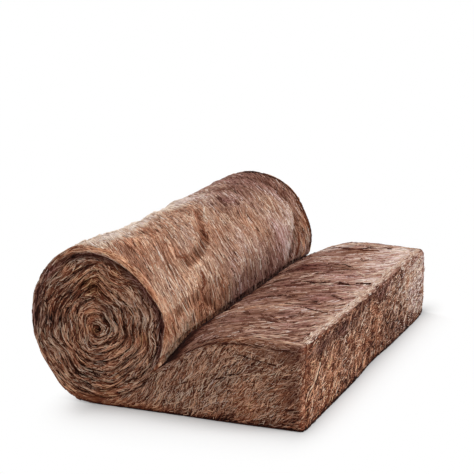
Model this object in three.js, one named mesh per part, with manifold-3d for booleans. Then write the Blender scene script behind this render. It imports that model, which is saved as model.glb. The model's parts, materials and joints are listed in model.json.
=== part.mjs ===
// A roll of glass wool loft insulation, partly unrolled on a floor.
//
// It is one blanket. The inner end is wound tight into a spiral, and the free end leaves the roll
// where it touches the floor, springs back to its full thickness and ends in a square cut.
// Millimetres, +Z up. The roll's axis runs along Y, and the free end lies towards +X.

import * as THREE from 'three';
import { mergeVertices } from 'three/addons/utils/BufferGeometryUtils.js';
import Module from 'manifold-3d';

// ---- Driving dimensions ----------------------------------------------------------------------

const blanketLength = 5930;      // the whole blanket, unrolled
const blanketWidth = 1140;       // along the roll's axis
const blanketThickness = 200;    // sprung back to full loft

const rollHeight = 402;          // over the wound turns
const rollSquash = 0.975;        // width of the roll against its height
const centreSag = 14;            // how far the innermost turns sink below the roll's middle
const hollowRadius = 9;          // the closed eye of the spiral
const hollowDepth = 34;

const freeLength = 547;          // from where the roll touches the floor to the cut end
const nipAngle = THREE.MathUtils.degToRad(300);   // wound round from the floor to the nip
const nipRunout = 66;            // how far the blanket stays low after it leaves the nip
const nipRunoutSlope = THREE.MathUtils.degToRad(21);
const climbAngle = THREE.MathUtils.degToRad(15);  // how much higher it clings between its ends
const climbRunoutSlope = THREE.MathUtils.degToRad(38);
const climbNearReach = 130;      // from the near end to where it clings highest
const climbFarReach = 170;       // from where it clings highest to the far end
const climbFarLoss = 0.25;       // share of the climb that is lost again there
const crestFromAxis = 385;       // where the blanket's top reaches its highest point
const crestRise = 6;             // of the crest over the full thickness
const crestRoundness = 100;      // length of the shoulder that rolls over to the crest
const springRise = 7;            // of the free blanket at the near end, over its full loft
const springReach = 430;         // along the roll, from the near end to where it is gone

const rimRadius = 8;             // soft edge round both ends of the blanket
const cutTopRadius = 14;         // soft edges of the square cut
const cutBottomRadius = 9;

// How far the last turn stands off the even spiral at each end of the roll, where nothing holds
// it: pairs of a winding angle in degrees and a distance in mm.
const endShapes = [
  { endY: 0,
    reach: 200,
    offsets: [
      [8, 0], [18, 5], [28, 6], [38, 2], [48, -4], [60, -6], [70, -7], [80, -4], [90, -2],
      [100, 0], [112, 2], [122, 3], [131, 7], [140, 10], [150, 12], [157, 15], [166, 14],
      [180, 5], [195, -2], [215, -6], [232, -8], [245, -7], [258, -5], [272, -2], [285, 0],
    ] },
  { endY: blanketWidth,
    reach: 170,
    offsets: [
      [130, 0], [145, 6], [165, 4], [185, 3], [200, 5], [215, 5], [227, 2], [242, -3],
      [254, 0], [265, 4], [275, 7], [285, 7],
    ] },
];

// Folds that the winding pressed into the wool. A line's points are a winding angle in degrees
// on the roll, or a distance from the roll's axis on the free blanket, then a place along it.
const rollFolds = [
  { line: [[186, 590], [209, 451], [225, 347], [229, 189]], halfWidth: 34, depth: 9 },
  { line: [[232, 280], [257, 240], [278, 105]], halfWidth: 32, depth: 9 },
  { line: [[257, 240], [282, 372]], halfWidth: 32, depth: 8 },
  { line: [[184, 775], [209, 635]], halfWidth: 34, depth: 8 },
];
const topFolds = [
  { line: [[338, 590], [394, 627], [540, 665]], halfWidth: 26, depth: 8 },
  { line: [[320, 800], [445, 812]], halfWidth: 28, depth: 6 },
  { line: [[262, 414], [378, 446], [540, 420]], halfWidth: 30, depth: 6 },
  { line: [[300, 232], [470, 290]], halfWidth: 28, depth: 6 },
];

const grooveWidth = 13;          // the gap between two turns where it flares at the end face
const grooveThroat = 4.4;        // its width below the flare
const grooveFlareDepth = 4;
const grooveDepth = 17;

// ---- Fineness of the facets ------------------------------------------------------------------

const rollSurfaceSteps = 60;     // round the outside of the roll
const crestSteps = 13;           // from the nip to the crest
const levelSteps = 5;            // from the crest to the cut end
const ringSteps = 26;            // along the roll between its soft rims
const cornerSteps = 3;           // round each soft edge
const grooveStep = 27;           // length of one groove segment on the outer turns
const grooveCoarsestTurn = 18;   // fewest groove segments in one turn
const hollowSides = 14;

// ---- The spiral ------------------------------------------------------------------------------

const meanRadius = rollHeight / 2;
const rollArea = Math.PI * rollSquash * (meanRadius ** 2 - hollowRadius ** 2);
const turnPitch = rollArea / (blanketLength - freeLength);   // thickness of one compressed turn
const outerRadius = meanRadius + turnPitch / 4;              // measured straight down to the floor
const woundAngle = 2 * Math.PI * (outerRadius - hollowRadius) / turnPitch;

function spiralRadius(angle) {
  return outerRadius - turnPitch * angle / (2 * Math.PI);
}

// A point in the roll's section, X across and Y up. The angle counts inwards from the floor,
// round by the side away from the free end.
function spiralPoint(angle, outwards = 0) {
  const radius = spiralRadius(angle) + outwards;
  const sag = centreSag * (1 - spiralRadius(angle) / outerRadius);
  return new THREE.Vector2(
    -Math.sin(angle) * radius * rollSquash,
    outerRadius - sag - Math.cos(angle) * radius,
  );
}

// ---- The blanket's section -------------------------------------------------------------------

function cornerPoints(centreX, centreY, radius, startAngle) {
  const arc = new THREE.EllipseCurve(
    centreX, centreY, radius, radius, startAngle, startAngle + Math.PI / 2,
  );
  return arc.getPoints(cornerSteps);
}

// How high the free blanket clings to the roll at a place along the axis, from 0 to 1.
function climbShare(y) {
  const near = Math.sin(Math.PI / 2 * Math.min(y / climbNearReach, 1));
  const far = THREE.MathUtils.smoothstep(y, blanketWidth - climbFarReach, blanketWidth);
  return near * (1 - climbFarLoss * far);
}

// The winding angle at which the free blanket's upper face leaves the roll.
function contactAngle(y) {
  return nipAngle - climbAngle * climbShare(y);
}

// Folds with their lines cut into straight stretches on a face that is laid out flat, where the
// scale turns a line's first numbers into millimetres.
function laidOut(folds, scale) {
  return folds.map(({ line, halfWidth, depth }) => {
    const places = line.map(([along, y]) => new THREE.Vector3(along * scale, y, 0));
    const stretches = places.slice(1).map((to, index) => new THREE.Line3(places[index], to));
    return { stretches, halfWidth, depth };
  });
}

const foldsOnRoll = laidOut(rollFolds, meanRadius * Math.PI / 180);
const foldsOnTop = laidOut(topFolds, 1);

// How deep the deepest of the folds is at a place on their face.
function foldDepth(folds, along, y) {
  const place = new THREE.Vector3(along, y, 0);
  const nearest = new THREE.Vector3();
  const depths = folds.map(({ stretches, halfWidth, depth }) => {
    const gaps = stretches.map((stretch) => (
      stretch.closestPointToPoint(place, true, nearest).distanceTo(place)
    ));
    return depth * Math.exp(-((Math.min(...gaps) / halfWidth) ** 2));
  });
  return Math.max(...depths);
}

// The blanket's upper face, from the cut end back to the nip, where it meets the next turn.
function topSurface(y) {
  const nip = spiralPoint(contactAngle(y));
  const crest = new THREE.Vector2(crestFromAxis, blanketThickness + crestRise);
  const shoulder = crest.clone().setX(crestFromAxis - crestRoundness);
  const slope = THREE.MathUtils.lerp(nipRunoutSlope, climbRunoutSlope, climbShare(y));
  const runout = new THREE.Vector2(Math.cos(slope), Math.sin(slope));
  runout.multiplyScalar(nipRunout).add(nip);
  const cutEdge = new THREE.Vector2(freeLength - cutTopRadius, blanketThickness);
  const points = [
    ...new THREE.LineCurve(cutEdge, crest).getPoints(levelSteps).slice(1, -1),
    ...new THREE.CubicBezierCurve(crest, shoulder, runout, nip).getPoints(crestSteps),
  ];
  return points.map((point) => point.setY(point.y - foldDepth(foldsOnTop, point.x, y)));
}

// A distance read from pairs of an angle in degrees and a distance; none beyond the pairs.
function readOffset(offsets, degrees) {
  const next = offsets.findIndex(([angle]) => angle > degrees);
  if (next < 1) return 0;
  const [fromAngle, from] = offsets[next - 1];
  const [toAngle, to] = offsets[next];
  return THREE.MathUtils.mapLinear(degrees, fromAngle, toAngle, from, to);
}

// How far the outside of the roll stands off the spiral at a winding angle.
function standOff(angle, y) {
  const degrees = THREE.MathUtils.radToDeg(angle);
  return endShapes.reduce((sum, { endY, reach, offsets }) => (
    sum + readOffset(offsets, degrees) * Math.exp(-(((y - endY) / reach) ** 2))
  ), 0);
}

// The outside of the roll, from above the nip over the top and down to the floor.
function rollSurface(y) {
  const points = [];
  for (let step = 1; step < rollSurfaceSteps; step += 1) {
    const angle = contactAngle(y) * (1 - step / rollSurfaceSteps);
    const fold = foldDepth(foldsOnRoll, meanRadius * angle, y);
    points.push(spiralPoint(angle, standOff(angle, y) - fold));
  }
  return points;
}

// A point of the free blanket raised by how far it has sprung back over its full loft.
function sprung(point, y) {
  const rise = springRise * (1 - THREE.MathUtils.smoothstep(y, 0, springReach));
  const share = THREE.MathUtils.smoothstep(point.x, 150, 350);
  return point.setY(point.y * (1 + share * rise / blanketThickness));
}

function sectionOutline(y) {
  const free = [
    ...cornerPoints(freeLength - cutBottomRadius, cutBottomRadius, cutBottomRadius, -Math.PI / 2),
    ...cornerPoints(freeLength - cutTopRadius, blanketThickness - cutTopRadius, cutTopRadius, 0),
    ...topSurface(y),
  ];
  return [
    new THREE.Vector2(0, 0),
    ...free.map((point) => sprung(point, y)),
    ...rollSurface(y),
  ];
}

// The outline moved into the material by a distance, corner by corner.
function insetOutline(outline, distance) {
  const longestMitre = 1.6;
  return outline.map((point, index) => {
    const before = outline[(index + outline.length - 1) % outline.length];
    const after = outline[(index + 1) % outline.length];
    const edgeIn = point.clone().sub(before).normalize();
    const edgeOut = after.clone().sub(point).normalize();
    const inwards = new THREE.Vector2(-edgeIn.y - edgeOut.y, edgeIn.x + edgeOut.x).normalize();
    const halfTurn = Math.max(inwards.dot(new THREE.Vector2(-edgeIn.y, edgeIn.x)), 1 / longestMitre);
    return point.clone().addScaledVector(inwards, distance / halfTurn);
  });
}

// ---- Solids ----------------------------------------------------------------------------------

// A closed skin over rings of points that lie one behind another along Y.
function loftGeometry(rings) {
  const count = rings[0].points.length;
  const positions = rings.flatMap((ring) => ring.points.flatMap((p) => [p.x, ring.y, p.y]));
  const triangles = [];
  for (let ring = 0; ring < rings.length - 1; ring += 1) {
    for (let index = 0; index < count; index += 1) {
      const next = (index + 1) % count;
      const near = ring * count;
      const far = near + count;
      triangles.push(near + index, far + index, far + next);
      triangles.push(near + index, far + next, near + next);
    }
  }
  const last = (rings.length - 1) * count;
  for (const [a, b, c] of THREE.ShapeUtils.triangulateShape(rings[0].points, [])) {
    triangles.push(a, b, c);
  }
  for (const [a, b, c] of THREE.ShapeUtils.triangulateShape(rings.at(-1).points, [])) {
    triangles.push(last + a, last + c, last + b);
  }
  const geometry = new THREE.BufferGeometry();
  geometry.setAttribute('position', new THREE.Float32BufferAttribute(positions, 3));
  geometry.setIndex(triangles);
  return geometry;
}

// The section drawn along the roll's axis, with both ends softly rounded.
function blanketGeometry() {
  const nearRim = [];
  const farRim = [];
  for (let step = 0; step < cornerSteps; step += 1) {
    const angle = Math.PI / 2 * step / cornerSteps;
    const y = rimRadius * (1 - Math.cos(angle));
    const inset = rimRadius * (1 - Math.sin(angle));
    nearRim.push({ y, points: insetOutline(sectionOutline(0), inset) });
    farRim.unshift({
      y: blanketWidth - y, points: insetOutline(sectionOutline(blanketWidth), inset),
    });
  }
  const between = [];
  for (let step = 0; step <= ringSteps; step += 1) {
    const y = THREE.MathUtils.lerp(rimRadius, blanketWidth - rimRadius, step / ringSteps);
    between.push({ y, points: sectionOutline(y) });
  }
  return loftGeometry([...nearRim, ...between, ...farRim]);
}

// The flared slot that shows between the turns on one end face. It follows the spiral from the
// nip to the hollow. faceY is the end face, and inwards is +1 or -1 along Y into the roll.
function turnGrooveGeometry(faceY, inwards) {
  const aboveFace = -1.5;
  const profile = [
    { across: grooveWidth / 2, depth: aboveFace },
    { across: grooveThroat / 2, depth: grooveFlareDepth },
    { across: 0, depth: grooveDepth },
    { across: -grooveThroat / 2, depth: grooveFlareDepth },
    { across: -grooveWidth / 2, depth: aboveFace },
  ];
  const stations = [];
  const innermost = woundAngle - Math.PI / 3;
  let angle = contactAngle(faceY) - THREE.MathUtils.degToRad(3);
  while (angle < innermost) {
    stations.push(angle);
    const arc = grooveStep / spiralRadius(angle);
    angle += Math.min(arc, 2 * Math.PI / grooveCoarsestTurn);
  }
  const positions = stations.flatMap((station) => profile.flatMap(({ across, depth }) => {
    const point = spiralPoint(station, across);
    return [point.x, faceY + inwards * depth, point.y];
  }));
  const sides = profile.length;
  const triangles = [];
  for (let station = 0; station < stations.length - 1; station += 1) {
    for (let side = 0; side < sides; side += 1) {
      const here = station * sides;
      const next = (side + 1) % sides;
      triangles.push(here + side, here + sides + side, here + sides + next);
      triangles.push(here + side, here + sides + next, here + next);
    }
  }
  const last = (stations.length - 1) * sides;
  for (let side = 1; side < sides - 1; side += 1) {
    triangles.push(0, side, side + 1);
    triangles.push(last, last + side + 1, last + side);
  }
  if (inwards < 0) triangles.reverse();
  const geometry = new THREE.BufferGeometry();
  geometry.setAttribute('position', new THREE.Float32BufferAttribute(positions, 3));
  geometry.setIndex(triangles);
  return geometry;
}

// The tapering pit left in the eye of the spiral, where the blanket's first fold closed.
function hollowGeometry(faceY, inwards) {
  const mouth = -2;
  const profile = [
    new THREE.Vector2(0, mouth),
    new THREE.Vector2(hollowRadius * 1.7, mouth),
    new THREE.Vector2(hollowRadius, hollowDepth * 0.2),
    new THREE.Vector2(hollowRadius * 0.55, hollowDepth * 0.75),
    new THREE.Vector2(0, hollowDepth),
  ];
  const geometry = new THREE.LatheGeometry(profile, hollowSides);
  const eye = spiralPoint(woundAngle, -spiralRadius(woundAngle));
  if (inwards < 0) geometry.rotateX(Math.PI);
  geometry.translate(eye.x, faceY, eye.y);
  return geometry;
}

// ---- Booleans --------------------------------------------------------------------------------

const wasm = await Module();
wasm.setup();

function solidFrom(geometry) {
  const bare = geometry.clone();
  bare.deleteAttribute('normal');
  bare.deleteAttribute('uv');
  const merged = mergeVertices(bare, 1e-3);
  const corners = merged.index.array;
  const triVerts = [];
  for (let first = 0; first < corners.length; first += 3) {
    const [a, b, c] = corners.slice(first, first + 3);
    if (a !== b && b !== c && c !== a) triVerts.push(a, b, c);   // none shrunk to a line at a pole
  }
  const solid = new wasm.Manifold(new wasm.Mesh({
    numProp: 3,
    vertProperties: merged.attributes.position.array,
    triVerts: new Uint32Array(triVerts),
  }));
  if (solid.volume() < 0) throw new Error('a solid is inside out');
  return solid;
}

function geometryFrom(solid) {
  const { vertProperties, triVerts } = solid.getMesh();
  const geometry = new THREE.BufferGeometry();
  geometry.setAttribute('position', new THREE.BufferAttribute(vertProperties, 3));
  geometry.setIndex(new THREE.BufferAttribute(triVerts, 1));
  geometry.computeVertexNormals();
  return geometry;
}

// ---- The part --------------------------------------------------------------------------------

function mineralWoolBlanket() {
  let solid = solidFrom(blanketGeometry());
  for (const [faceY, inwards] of [[0, 1], [blanketWidth, -1]]) {
    solid = solid.subtract(solidFrom(turnGrooveGeometry(faceY, inwards)));
    solid = solid.subtract(solidFrom(hollowGeometry(faceY, inwards)));
  }
  const mineralWool = new THREE.MeshStandardMaterial({
    color: 0x8a6250, roughness: 0.95, metalness: 0,
  });
  const mesh = new THREE.Mesh(geometryFrom(solid), mineralWool);
  mesh.name = 'mineral_wool_blanket';
  return mesh;
}

// The origin is on the floor, under the middle of the part's box.
const box = new THREE.Box3();
const blanket = mineralWoolBlanket();
box.setFromObject(blanket);
blanket.position.set(-(box.min.x + box.max.x) / 2, -blanketWidth / 2, -box.min.z);

const part = new THREE.Group();
part.add(blanket);

export default part;
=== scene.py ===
"""A partly unrolled blanket of brown mineral wool, dressed round the CAD solid.

The blanket's skin is one closed mesh that follows the wool from the square cut, along the free
end, and round every turn of the roll to its eye. Strands of wool lie along it in the direction
in which the blanket was laid, as separate meshes. Lengths are in metres, save in tables whose
comments name another unit.
"""

import json
import math
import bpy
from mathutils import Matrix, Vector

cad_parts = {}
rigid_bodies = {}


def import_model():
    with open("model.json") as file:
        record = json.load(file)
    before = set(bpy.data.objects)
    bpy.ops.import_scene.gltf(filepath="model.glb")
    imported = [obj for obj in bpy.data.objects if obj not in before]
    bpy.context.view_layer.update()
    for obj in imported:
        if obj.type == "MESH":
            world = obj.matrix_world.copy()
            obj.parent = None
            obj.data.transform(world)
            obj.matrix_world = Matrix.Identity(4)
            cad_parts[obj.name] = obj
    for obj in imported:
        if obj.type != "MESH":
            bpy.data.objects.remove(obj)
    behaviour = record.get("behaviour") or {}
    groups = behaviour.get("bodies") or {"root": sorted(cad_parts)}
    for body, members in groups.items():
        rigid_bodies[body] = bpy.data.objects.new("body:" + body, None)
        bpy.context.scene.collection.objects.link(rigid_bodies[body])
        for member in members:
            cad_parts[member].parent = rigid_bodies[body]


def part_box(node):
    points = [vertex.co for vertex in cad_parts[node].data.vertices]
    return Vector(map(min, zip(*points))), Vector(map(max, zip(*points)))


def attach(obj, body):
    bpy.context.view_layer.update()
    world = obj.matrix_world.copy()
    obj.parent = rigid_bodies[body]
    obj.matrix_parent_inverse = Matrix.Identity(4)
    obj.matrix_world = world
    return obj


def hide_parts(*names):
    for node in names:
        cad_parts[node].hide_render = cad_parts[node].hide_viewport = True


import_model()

from types import SimpleNamespace

import bpy
import numpy as np
from numpy.linalg import norm

bl_info = {
    "name": "Insulation roll",
    "version": (1, 0, 0),
    "blender": (4, 5, 0),
    "location": "3D View > Sidebar > Insulation Roll",
    "description": "Makes a partly unrolled blanket of mineral wool",
    "category": "Object",
}

# ---- The blanket, as the CAD solid has it

MILLI, HUNDRED = 1000, 100   # some tables are in millimetres, thousandths or hundredths

NODE = "mineral_wool_blanket"
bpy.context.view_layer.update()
LOW, HIGH = (np.array(corner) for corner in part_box(NODE))

BLANKET_LENGTH = 5.93
BLANKET_WIDTH = HIGH[1] - LOW[1]
BLANKET_THICKNESS = 0.2
ROLL_HEIGHT = 0.402
ROLL_SQUASH = 0.975
CENTRE_SAG = 0.014
EYE_RADIUS = 0.009
FREE_LENGTH = 0.547
NIP_STEPS_LEFT = 30          # steps of the spiral between the nip and a full turn
NIP_RUNOUT = 0.066
NIP_RUNOUT_SLOPE = math.radians(21)
CLIMB_ANGLE = math.radians(15)      # how much higher it clings to the roll between its ends
CLIMB_RUNOUT_SLOPE = math.radians(38)
CLIMB_NEAR_REACH = 0.13             # from the near end to where it clings highest
CLIMB_FAR_REACH = 0.17
CLIMB_FAR_LOSS = 0.25               # share of the climb lost again at the far end
CREST_FROM_AXIS = 0.385
CREST_RISE = 0.006
CREST_ROUNDNESS = 0.1
CUT_TOP_RADIUS = 0.014
CUT_BOTTOM_RADIUS = 0.004
LEAVES_ROLL = 0.185                 # from the axis, where the free blanket's columns begin

AXIS_X = HIGH[0] - FREE_LENGTH      # the roll's axis in the shared frame

# ---- Fineness of the skin

STEPS_PER_TURN = 180
TOP_COLUMNS = 60             # from the nip to the square cut
SLAB_LAYERS = 46             # points through the free blanket's thickness
TURN_LAYERS = 10             # points through one wound turn
CURVE_STEPS = (12, 120)      # for working out the upper face: clinging to the roll, then free
SLAB_CROWDING, TURN_CROWDING = 0.8, 0.55     # how much closer the layers lie near both faces
SAME_PLACE = 2e-6            # points rounded to a grid this fine are merged where they meet
ROWS = 150                   # points along the roll between its two soft rims
PIT_RINGS = ((0.8, 0.006), (0.55, 0.018), (0.25, 0.03))   # share of the eye, depth into it

# ---- How the wool lies

# The turns' drift from an even spiral: wave length and swing of each wave, a seed for each end,
# the turns and the share of the radius over which it grows.
DRIFT_WAVES = ((0.17, 0.0055), (0.1, 0.0038), (0.065, 0.002))
DRIFT_SEEDS = {False: 17, True: 41}     # near end, far end
DRIFT_TURNS, DRIFT_RADIUS = (1.01, 0.9), 0.25
EYE_SHIFT, EYE_SHIFT_REACH = -0.008, 0.6     # of the eye from the axis, share of the radius
EYE_NARROWING = 0.65         # share of the eye's radius that the innermost turn takes up
PEAK = (-0.004, 0.09, 0.024, 0.05, 0.065)    # x, height over the axis, rise, half width and height
HOLLOW = (-0.03, 0.105, 0.022, 0.016)       # x, height over the axis, half width and height
CRISP_RIM = 0.1              # share of the ends' soft edges left at the floor
FLOOR_REACH = 0.03           # height over which the floor holds the blanket
HELD_HEIGHT = 0.0005         # wool below this height doesn't move at all
# The turn that sits back behind the last one at both ends: winding angle in degrees, then its
# middle and half width as shares of the radius, and how clearly it shows.
# Besides sitting back, this turn is painted darker as shade.
END_BAND = (
    (60, 0.92, 0.05, 0.0), (85, 0.93, 0.05, 0.35), (105, 0.94, 0.05, 0.5), (134, 0.955, 0.05, 0.5),
    (150, 0.95, 0.048, 0.85), (170, 0.935, 0.046, 1.0), (185, 0.91, 0.05, 1.0),
    (200, 0.85, 0.056, 1.0), (211, 0.812, 0.054, 1.0), (225, 0.8, 0.05, 1.0),
    (234, 0.798, 0.048, 1.0), (250, 0.838, 0.046, 1.0), (262, 0.838, 0.05, 1.0),
    (274, 0.84, 0.037, 1.0), (287, 0.838, 0.044, 0.9), (300, 0.83, 0.045, 0.4),
    (315, 0.8, 0.06, 0.0))
BAND_DEPTH = 0.012
BAND_FROM_END = (-0.06, 0.03)   # span, from the end face inwards, over which it fades
LIP_SPAN = (0.7, 0.6)        # of the lip over it, in half widths of the band
# How far the last turn stands off the even spiral at each end of the roll: place along the
# axis, reach, then winding angles in degrees with distances in millimetres.
END_SHAPES = (
    (LOW[1], 0.2, (
        (8, 0), (18, 5), (28, 6), (38, 2), (48, -4), (60, -6), (70, -6), (80, -2), (90, 0),
        (100, 2), (112, 4), (122, 3), (131, 7), (140, 10), (150, 12), (157, 15), (166, 14),
        (180, 5), (195, -2), (215, -6), (232, -8), (245, -7), (258, -5), (272, -2), (285, 0))),
    (HIGH[1], 0.17, (
        (130, 0), (145, 6), (165, 4), (185, 3), (200, 5), (215, 5), (227, 2), (242, -3),
        (254, 0), (265, 4), (275, 7), (285, 7), (292, 0))),
)
STAND_OFF_SHARE = (0.82, 0.13)  # of the radius, over which the turn that stands off begins
HAIR = 1e-4                      # less than this doesn't count as a gap
SPRING_RISE, SPRING_REACH = 0.007, 0.43     # of the free blanket at the near end
SPRING_SPAN = (0.15, 0.2)                # from the axis towards the cut
# The foot of the free blanket spreads a little at the near end and under the square cut.
FOOT_HEIGHT, FOOT_FROM_END = 0.09, 0.12
FOOT_SPREAD, FOOT_MORE_SPREAD, FOOT_SPAN = 0.008, 0.01, (0.05, 0.4)
CUT_FOOT_SPREAD, CUT_FOOT_SPAN = 0.007, (0.44, 0.1)
CUT_FOOT_HELD = ((0.02, 0.13), (HIGH[1], 0.06))      # places that don't spread, and their width
SIDE_FIBRE_TURN = math.radians(24)      # fibres of the free sides, rising towards the cut
CUT_FIBRE_TURN = math.radians(24)       # fibres of the square cut, rising towards the far end

# The way the wool lies on a long face: share of the face's length, degrees from that length.
ROLL_HEADING = ((0, 0), (0.3, -15), (0.5, -45), (0.6, -50), (0.66, -42), (0.71, -32),
                (0.75, -13), (0.79, 2), (0.84, 16), (0.9, 21), (1, 24))
TOP_HEADING = ((0, 14), (0.35, 22), (0.65, 34), (0.88, 56), (1, 62))

# Valleys on the roll's outside: (winding angle in degrees, place along the axis in millimetres),
# then the valley's half width and its share of the full depth.
# They are sunk into the skin and painted darker, as shade, and redder.
VALLEYS = (
    (((186, 20), (194, -26), (209, -119), (219, -141), (225, -223), (228, -303),
      (229, -381)), 0.014, 1.0),
    (((219, -160), (214, -110), (207, -70)), 0.01, 0.25),
    (((232, -290), (238, -307), (248, -314), (257, -330), (257, -394), (258, -424), (259, -453),
      (265, -490)), 0.013, 0.7),
    (((257, -330), (266, -270), (278, -216), (292, -190)), 0.014, 0.6),
    (((184, 205), (197, 130), (209, 65)), 0.014, 0.5),
    (((182, -436), (192, -445), (203, -469)), 0.012, 0.6),
    (((150, 475), (200, 487), (238, 487), (248, 476), (260, 430), (273, 391),
      (290, 360)), 0.012, 0.8),
    (((262, 50), (275, 30), (292, 35)), 0.012, 0.35),
    (((268, 200), (280, 180), (294, 190)), 0.012, 0.35),
)

ON_ROLL = ((0.16, 0.008), (0.26, -0.02))     # radii over which the valleys set in and end
VALLEY_END = (0.2, 0.08)          # share of the depth left at both ends of a valley, its reach
NIP_VALLEY, NIP_VALLEY_WIDTH = 1.1, 0.007
NIP_HOLD, NIP_HOLD_WIDTH = 0.8, 0.03         # the nip holds the wool's other ups and downs
HOLLOW_FROM_END, HOLLOW_LIMIT = 0.02, 0.9    # depth into the roll, share of the radius

# Cracks in the free blanket's upper face: (distance from the roll's axis, place along it), both
# in millimetres, then half width and share of the full depth.
# They are sunk into the skin and painted darker as shade.
TOP_CRACKS = (
    (((330, 0), (394.5, 42), (458.5, 60), (540.5, 90)), 0.007, 1.0),
    (((320, 232), (360, 241), (416, 224), (470, 245)), 0.008, 0.7),
    (((262, -156), (297, -112), (377, -124), (440, -150)), 0.01, 0.5),
    (((300, -338), (358, -281), (422, -300), (500, -250)), 0.01, 0.6),
    (((300, 90), (380, 160), (448, 151)), 0.008, 0.5),
    (((330, 515), (420, 530), (530, 525)), 0.008, 0.8),
)

CRACKED_PART = (0.2, 0.16)        # from the axis and from the floor, where cracks begin
CRACK_WANDER = ((0.004, 130), (0.003, 290))      # size and waves of their wandering

# Patches of wool that differ: place and reach in millimetres, how much paler and how much warmer
# in hundredths. On the roll the place is a winding angle in degrees and a distance along the
# axis; on the free blanket's upper face and on the near end it is a distance from the axis, then
# one along it or above it; on the free sides it is a distance from the axis and a height, on the
# square cut a distance along the axis and a height.
# Those near 170 degrees on the roll shape its painted highlight along the top.
ROLL_PATCHES = (
    (184, -300, 40, -3, 16), (194, -330, 35, -3, 16), (189, -425, 40, -2, 12),
    (225, -430, 45, -12, -2), (209, -400, 50, -12, 0), (196, -500, 45, -22, 0),
    (205, -250, 80, -6, -6), (238, -400, 40, -6, -5), (267, -525, 35, -16, 20),
    (280, -470, 30, 8, 10), (200, 100, 45, -12, -10), (250, -360, 40, 8, 0),
    (252, -520, 40, 12, 0), (254, -440, 40, 8, 0), (240, -204, 60, 6, 2), (219, -40, 50, -12, 5),
    (194, -150, 50, 2, 4), (168, -400, 40, 10, -6), (170, -280, 40, 8, -6),
    (168, -140, 40, -2, -6), (176, 350, 140, -14, -15), (198, 170, 35, -20, -40),
    (215, -340, 35, -4, 16), (245, 211, 40, -4, 16), (268, 485, 40, 0, 20),
    (250, 530, 25, -10, 40), (266, -320, 50, -2, 16), (220, 180, 80, -8, 12),
    (222, 350, 60, -2, 16), (243, 330, 70, 10, -15), (262, -170, 50, -6, 14),
    (272, -50, 100, -12, -16), (268, 250, 120, -14, -12), (230, -288, 35, 14, 0),
    (265, 355, 35, 26, 0), (257, 490, 30, -22, 0), (263, 50, 40, -8, 10), (229, -460, 30, 8, -5),
    (217, -540, 30, -12, 8), (250, 420, 30, 14, 0), (172, 150, 50, 5, -15), (194, 335, 50, -16, 0),
    (229, 381, 30, -18, 0), (183, -27, 40, -14, 0), (229, 78, 35, -14, 0), (234, 40, 30, 14, -10),
    (172, -190, 40, -10, 0), (201, -80, 35, 16, 0), (208, 436, 30, 10, -8),
)
TOP_PATCHES = (
    (360, -470, 40, 0, 2), (450, -480, 50, -2, 2), (320, -420, 40, -8, 0), (250, -20, 40, -14, 0),
    (350, 470, 35, -12, 5), (400, -260, 60, 10, -10), (290, 70, 40, -14, -10),
    (280, 460, 50, 14, 0), (300, 340, 40, 10, 0), (280, 200, 45, -26, -20),
    (300, 230, 30, -10, -12), (400, -100, 100, -11, -5), (360, -300, 60, -6, 10),
    (420, 300, 80, 6, 0), (380, 430, 35, -8, 30), (320, -455, 35, 16, 0), (408, -340, 35, 26, 0),
    (470, -502, 30, -14, -5), (461, 368, 35, -16, -5), (430, -106, 35, 16, -10),
    (394, 110, 35, 14, -10), (490, 147, 30, 12, -10), (519, -473, 35, -16, 0),
    (360, 455, 35, -16, -20), (275, 190, 30, -14, -5), (450, -400, 35, 10, -10),
)
NEAR_END_PATCHES = (
    (50, 152, 16, -4, 40), (-60, 118, 22, 4, 16), (-95, 145, 16, 6, 16), (118, -12, 18, 16, 25),
    (122, -45, 20, 14, 20), (60, 20, 14, 10, 20), (-180, 11, 30, -18, -35),
    (-175, 70, 30, -14, -30), (-135, 135, 30, -10, -30), (-5, -184, 30, 0, 20),
    (-14, 108, 20, -4, 35), (-114, -85, 25, 12, 0), (75, 0, 20, -12, 0), (-62, -88, 20, -12, 0),
    (77, 85, 20, 10, 0), (-110, 65, 35, -12, 0), (130, 40, 25, 10, 0), (-12, -12, 11, -14, 40),
    (-22, 34, 20, 12, 25), (-30, -6, 14, 10, 25), (-142, -31, 20, 14, 0), (-134, 10, 16, -26, -10),
    (30, 50, 14, 10, -20), (-127, 30, 22, -22, 0), (-130, -68, 20, 16, 0), (-60, -7, 20, -16, 0),
    (9, 79, 20, -16, 0), (74, -22, 16, -12, 0), (109, 85, 20, 20, 0), (105, -43, 20, 14, 0),
    (27, -162, 20, -20, 10), (-90, 100, 20, -12, 0), (100, -145, 20, 14, 0),
    (-20, 155, 16, -14, 0), (-30, -110, 18, -10, 10), (110, 142, 14, 14, 0), (195, 12, 22, -24, 10),
)
SIDE_PATCHES = (
    (360, 15, 35, -14, 0), (522, 20, 25, -28, 0), (520, 182, 22, -20, 0), (337, 184, 22, -12, 0),
    (275, 155, 25, 12, 0),
)
CUT_PATCHES = (
    (333, 72, 40, -18, 10), (200, 107, 35, -12, 0), (193, 195, 30, 16, 0), (325, 16, 30, 16, 0),
    (81, 51, 35, 16, 0),
)

# The smooth layer below the upper edge of the free blanket's sides: distance from the axis, how
# far down it reaches.
SMOOTH_LAYER = ((0.15, 0.004), (0.28, 0.006), (0.334, 0.01), (0.387, 0.022), (0.427, 0.037),
                (0.483, 0.044), (0.547, 0.046))

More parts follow.
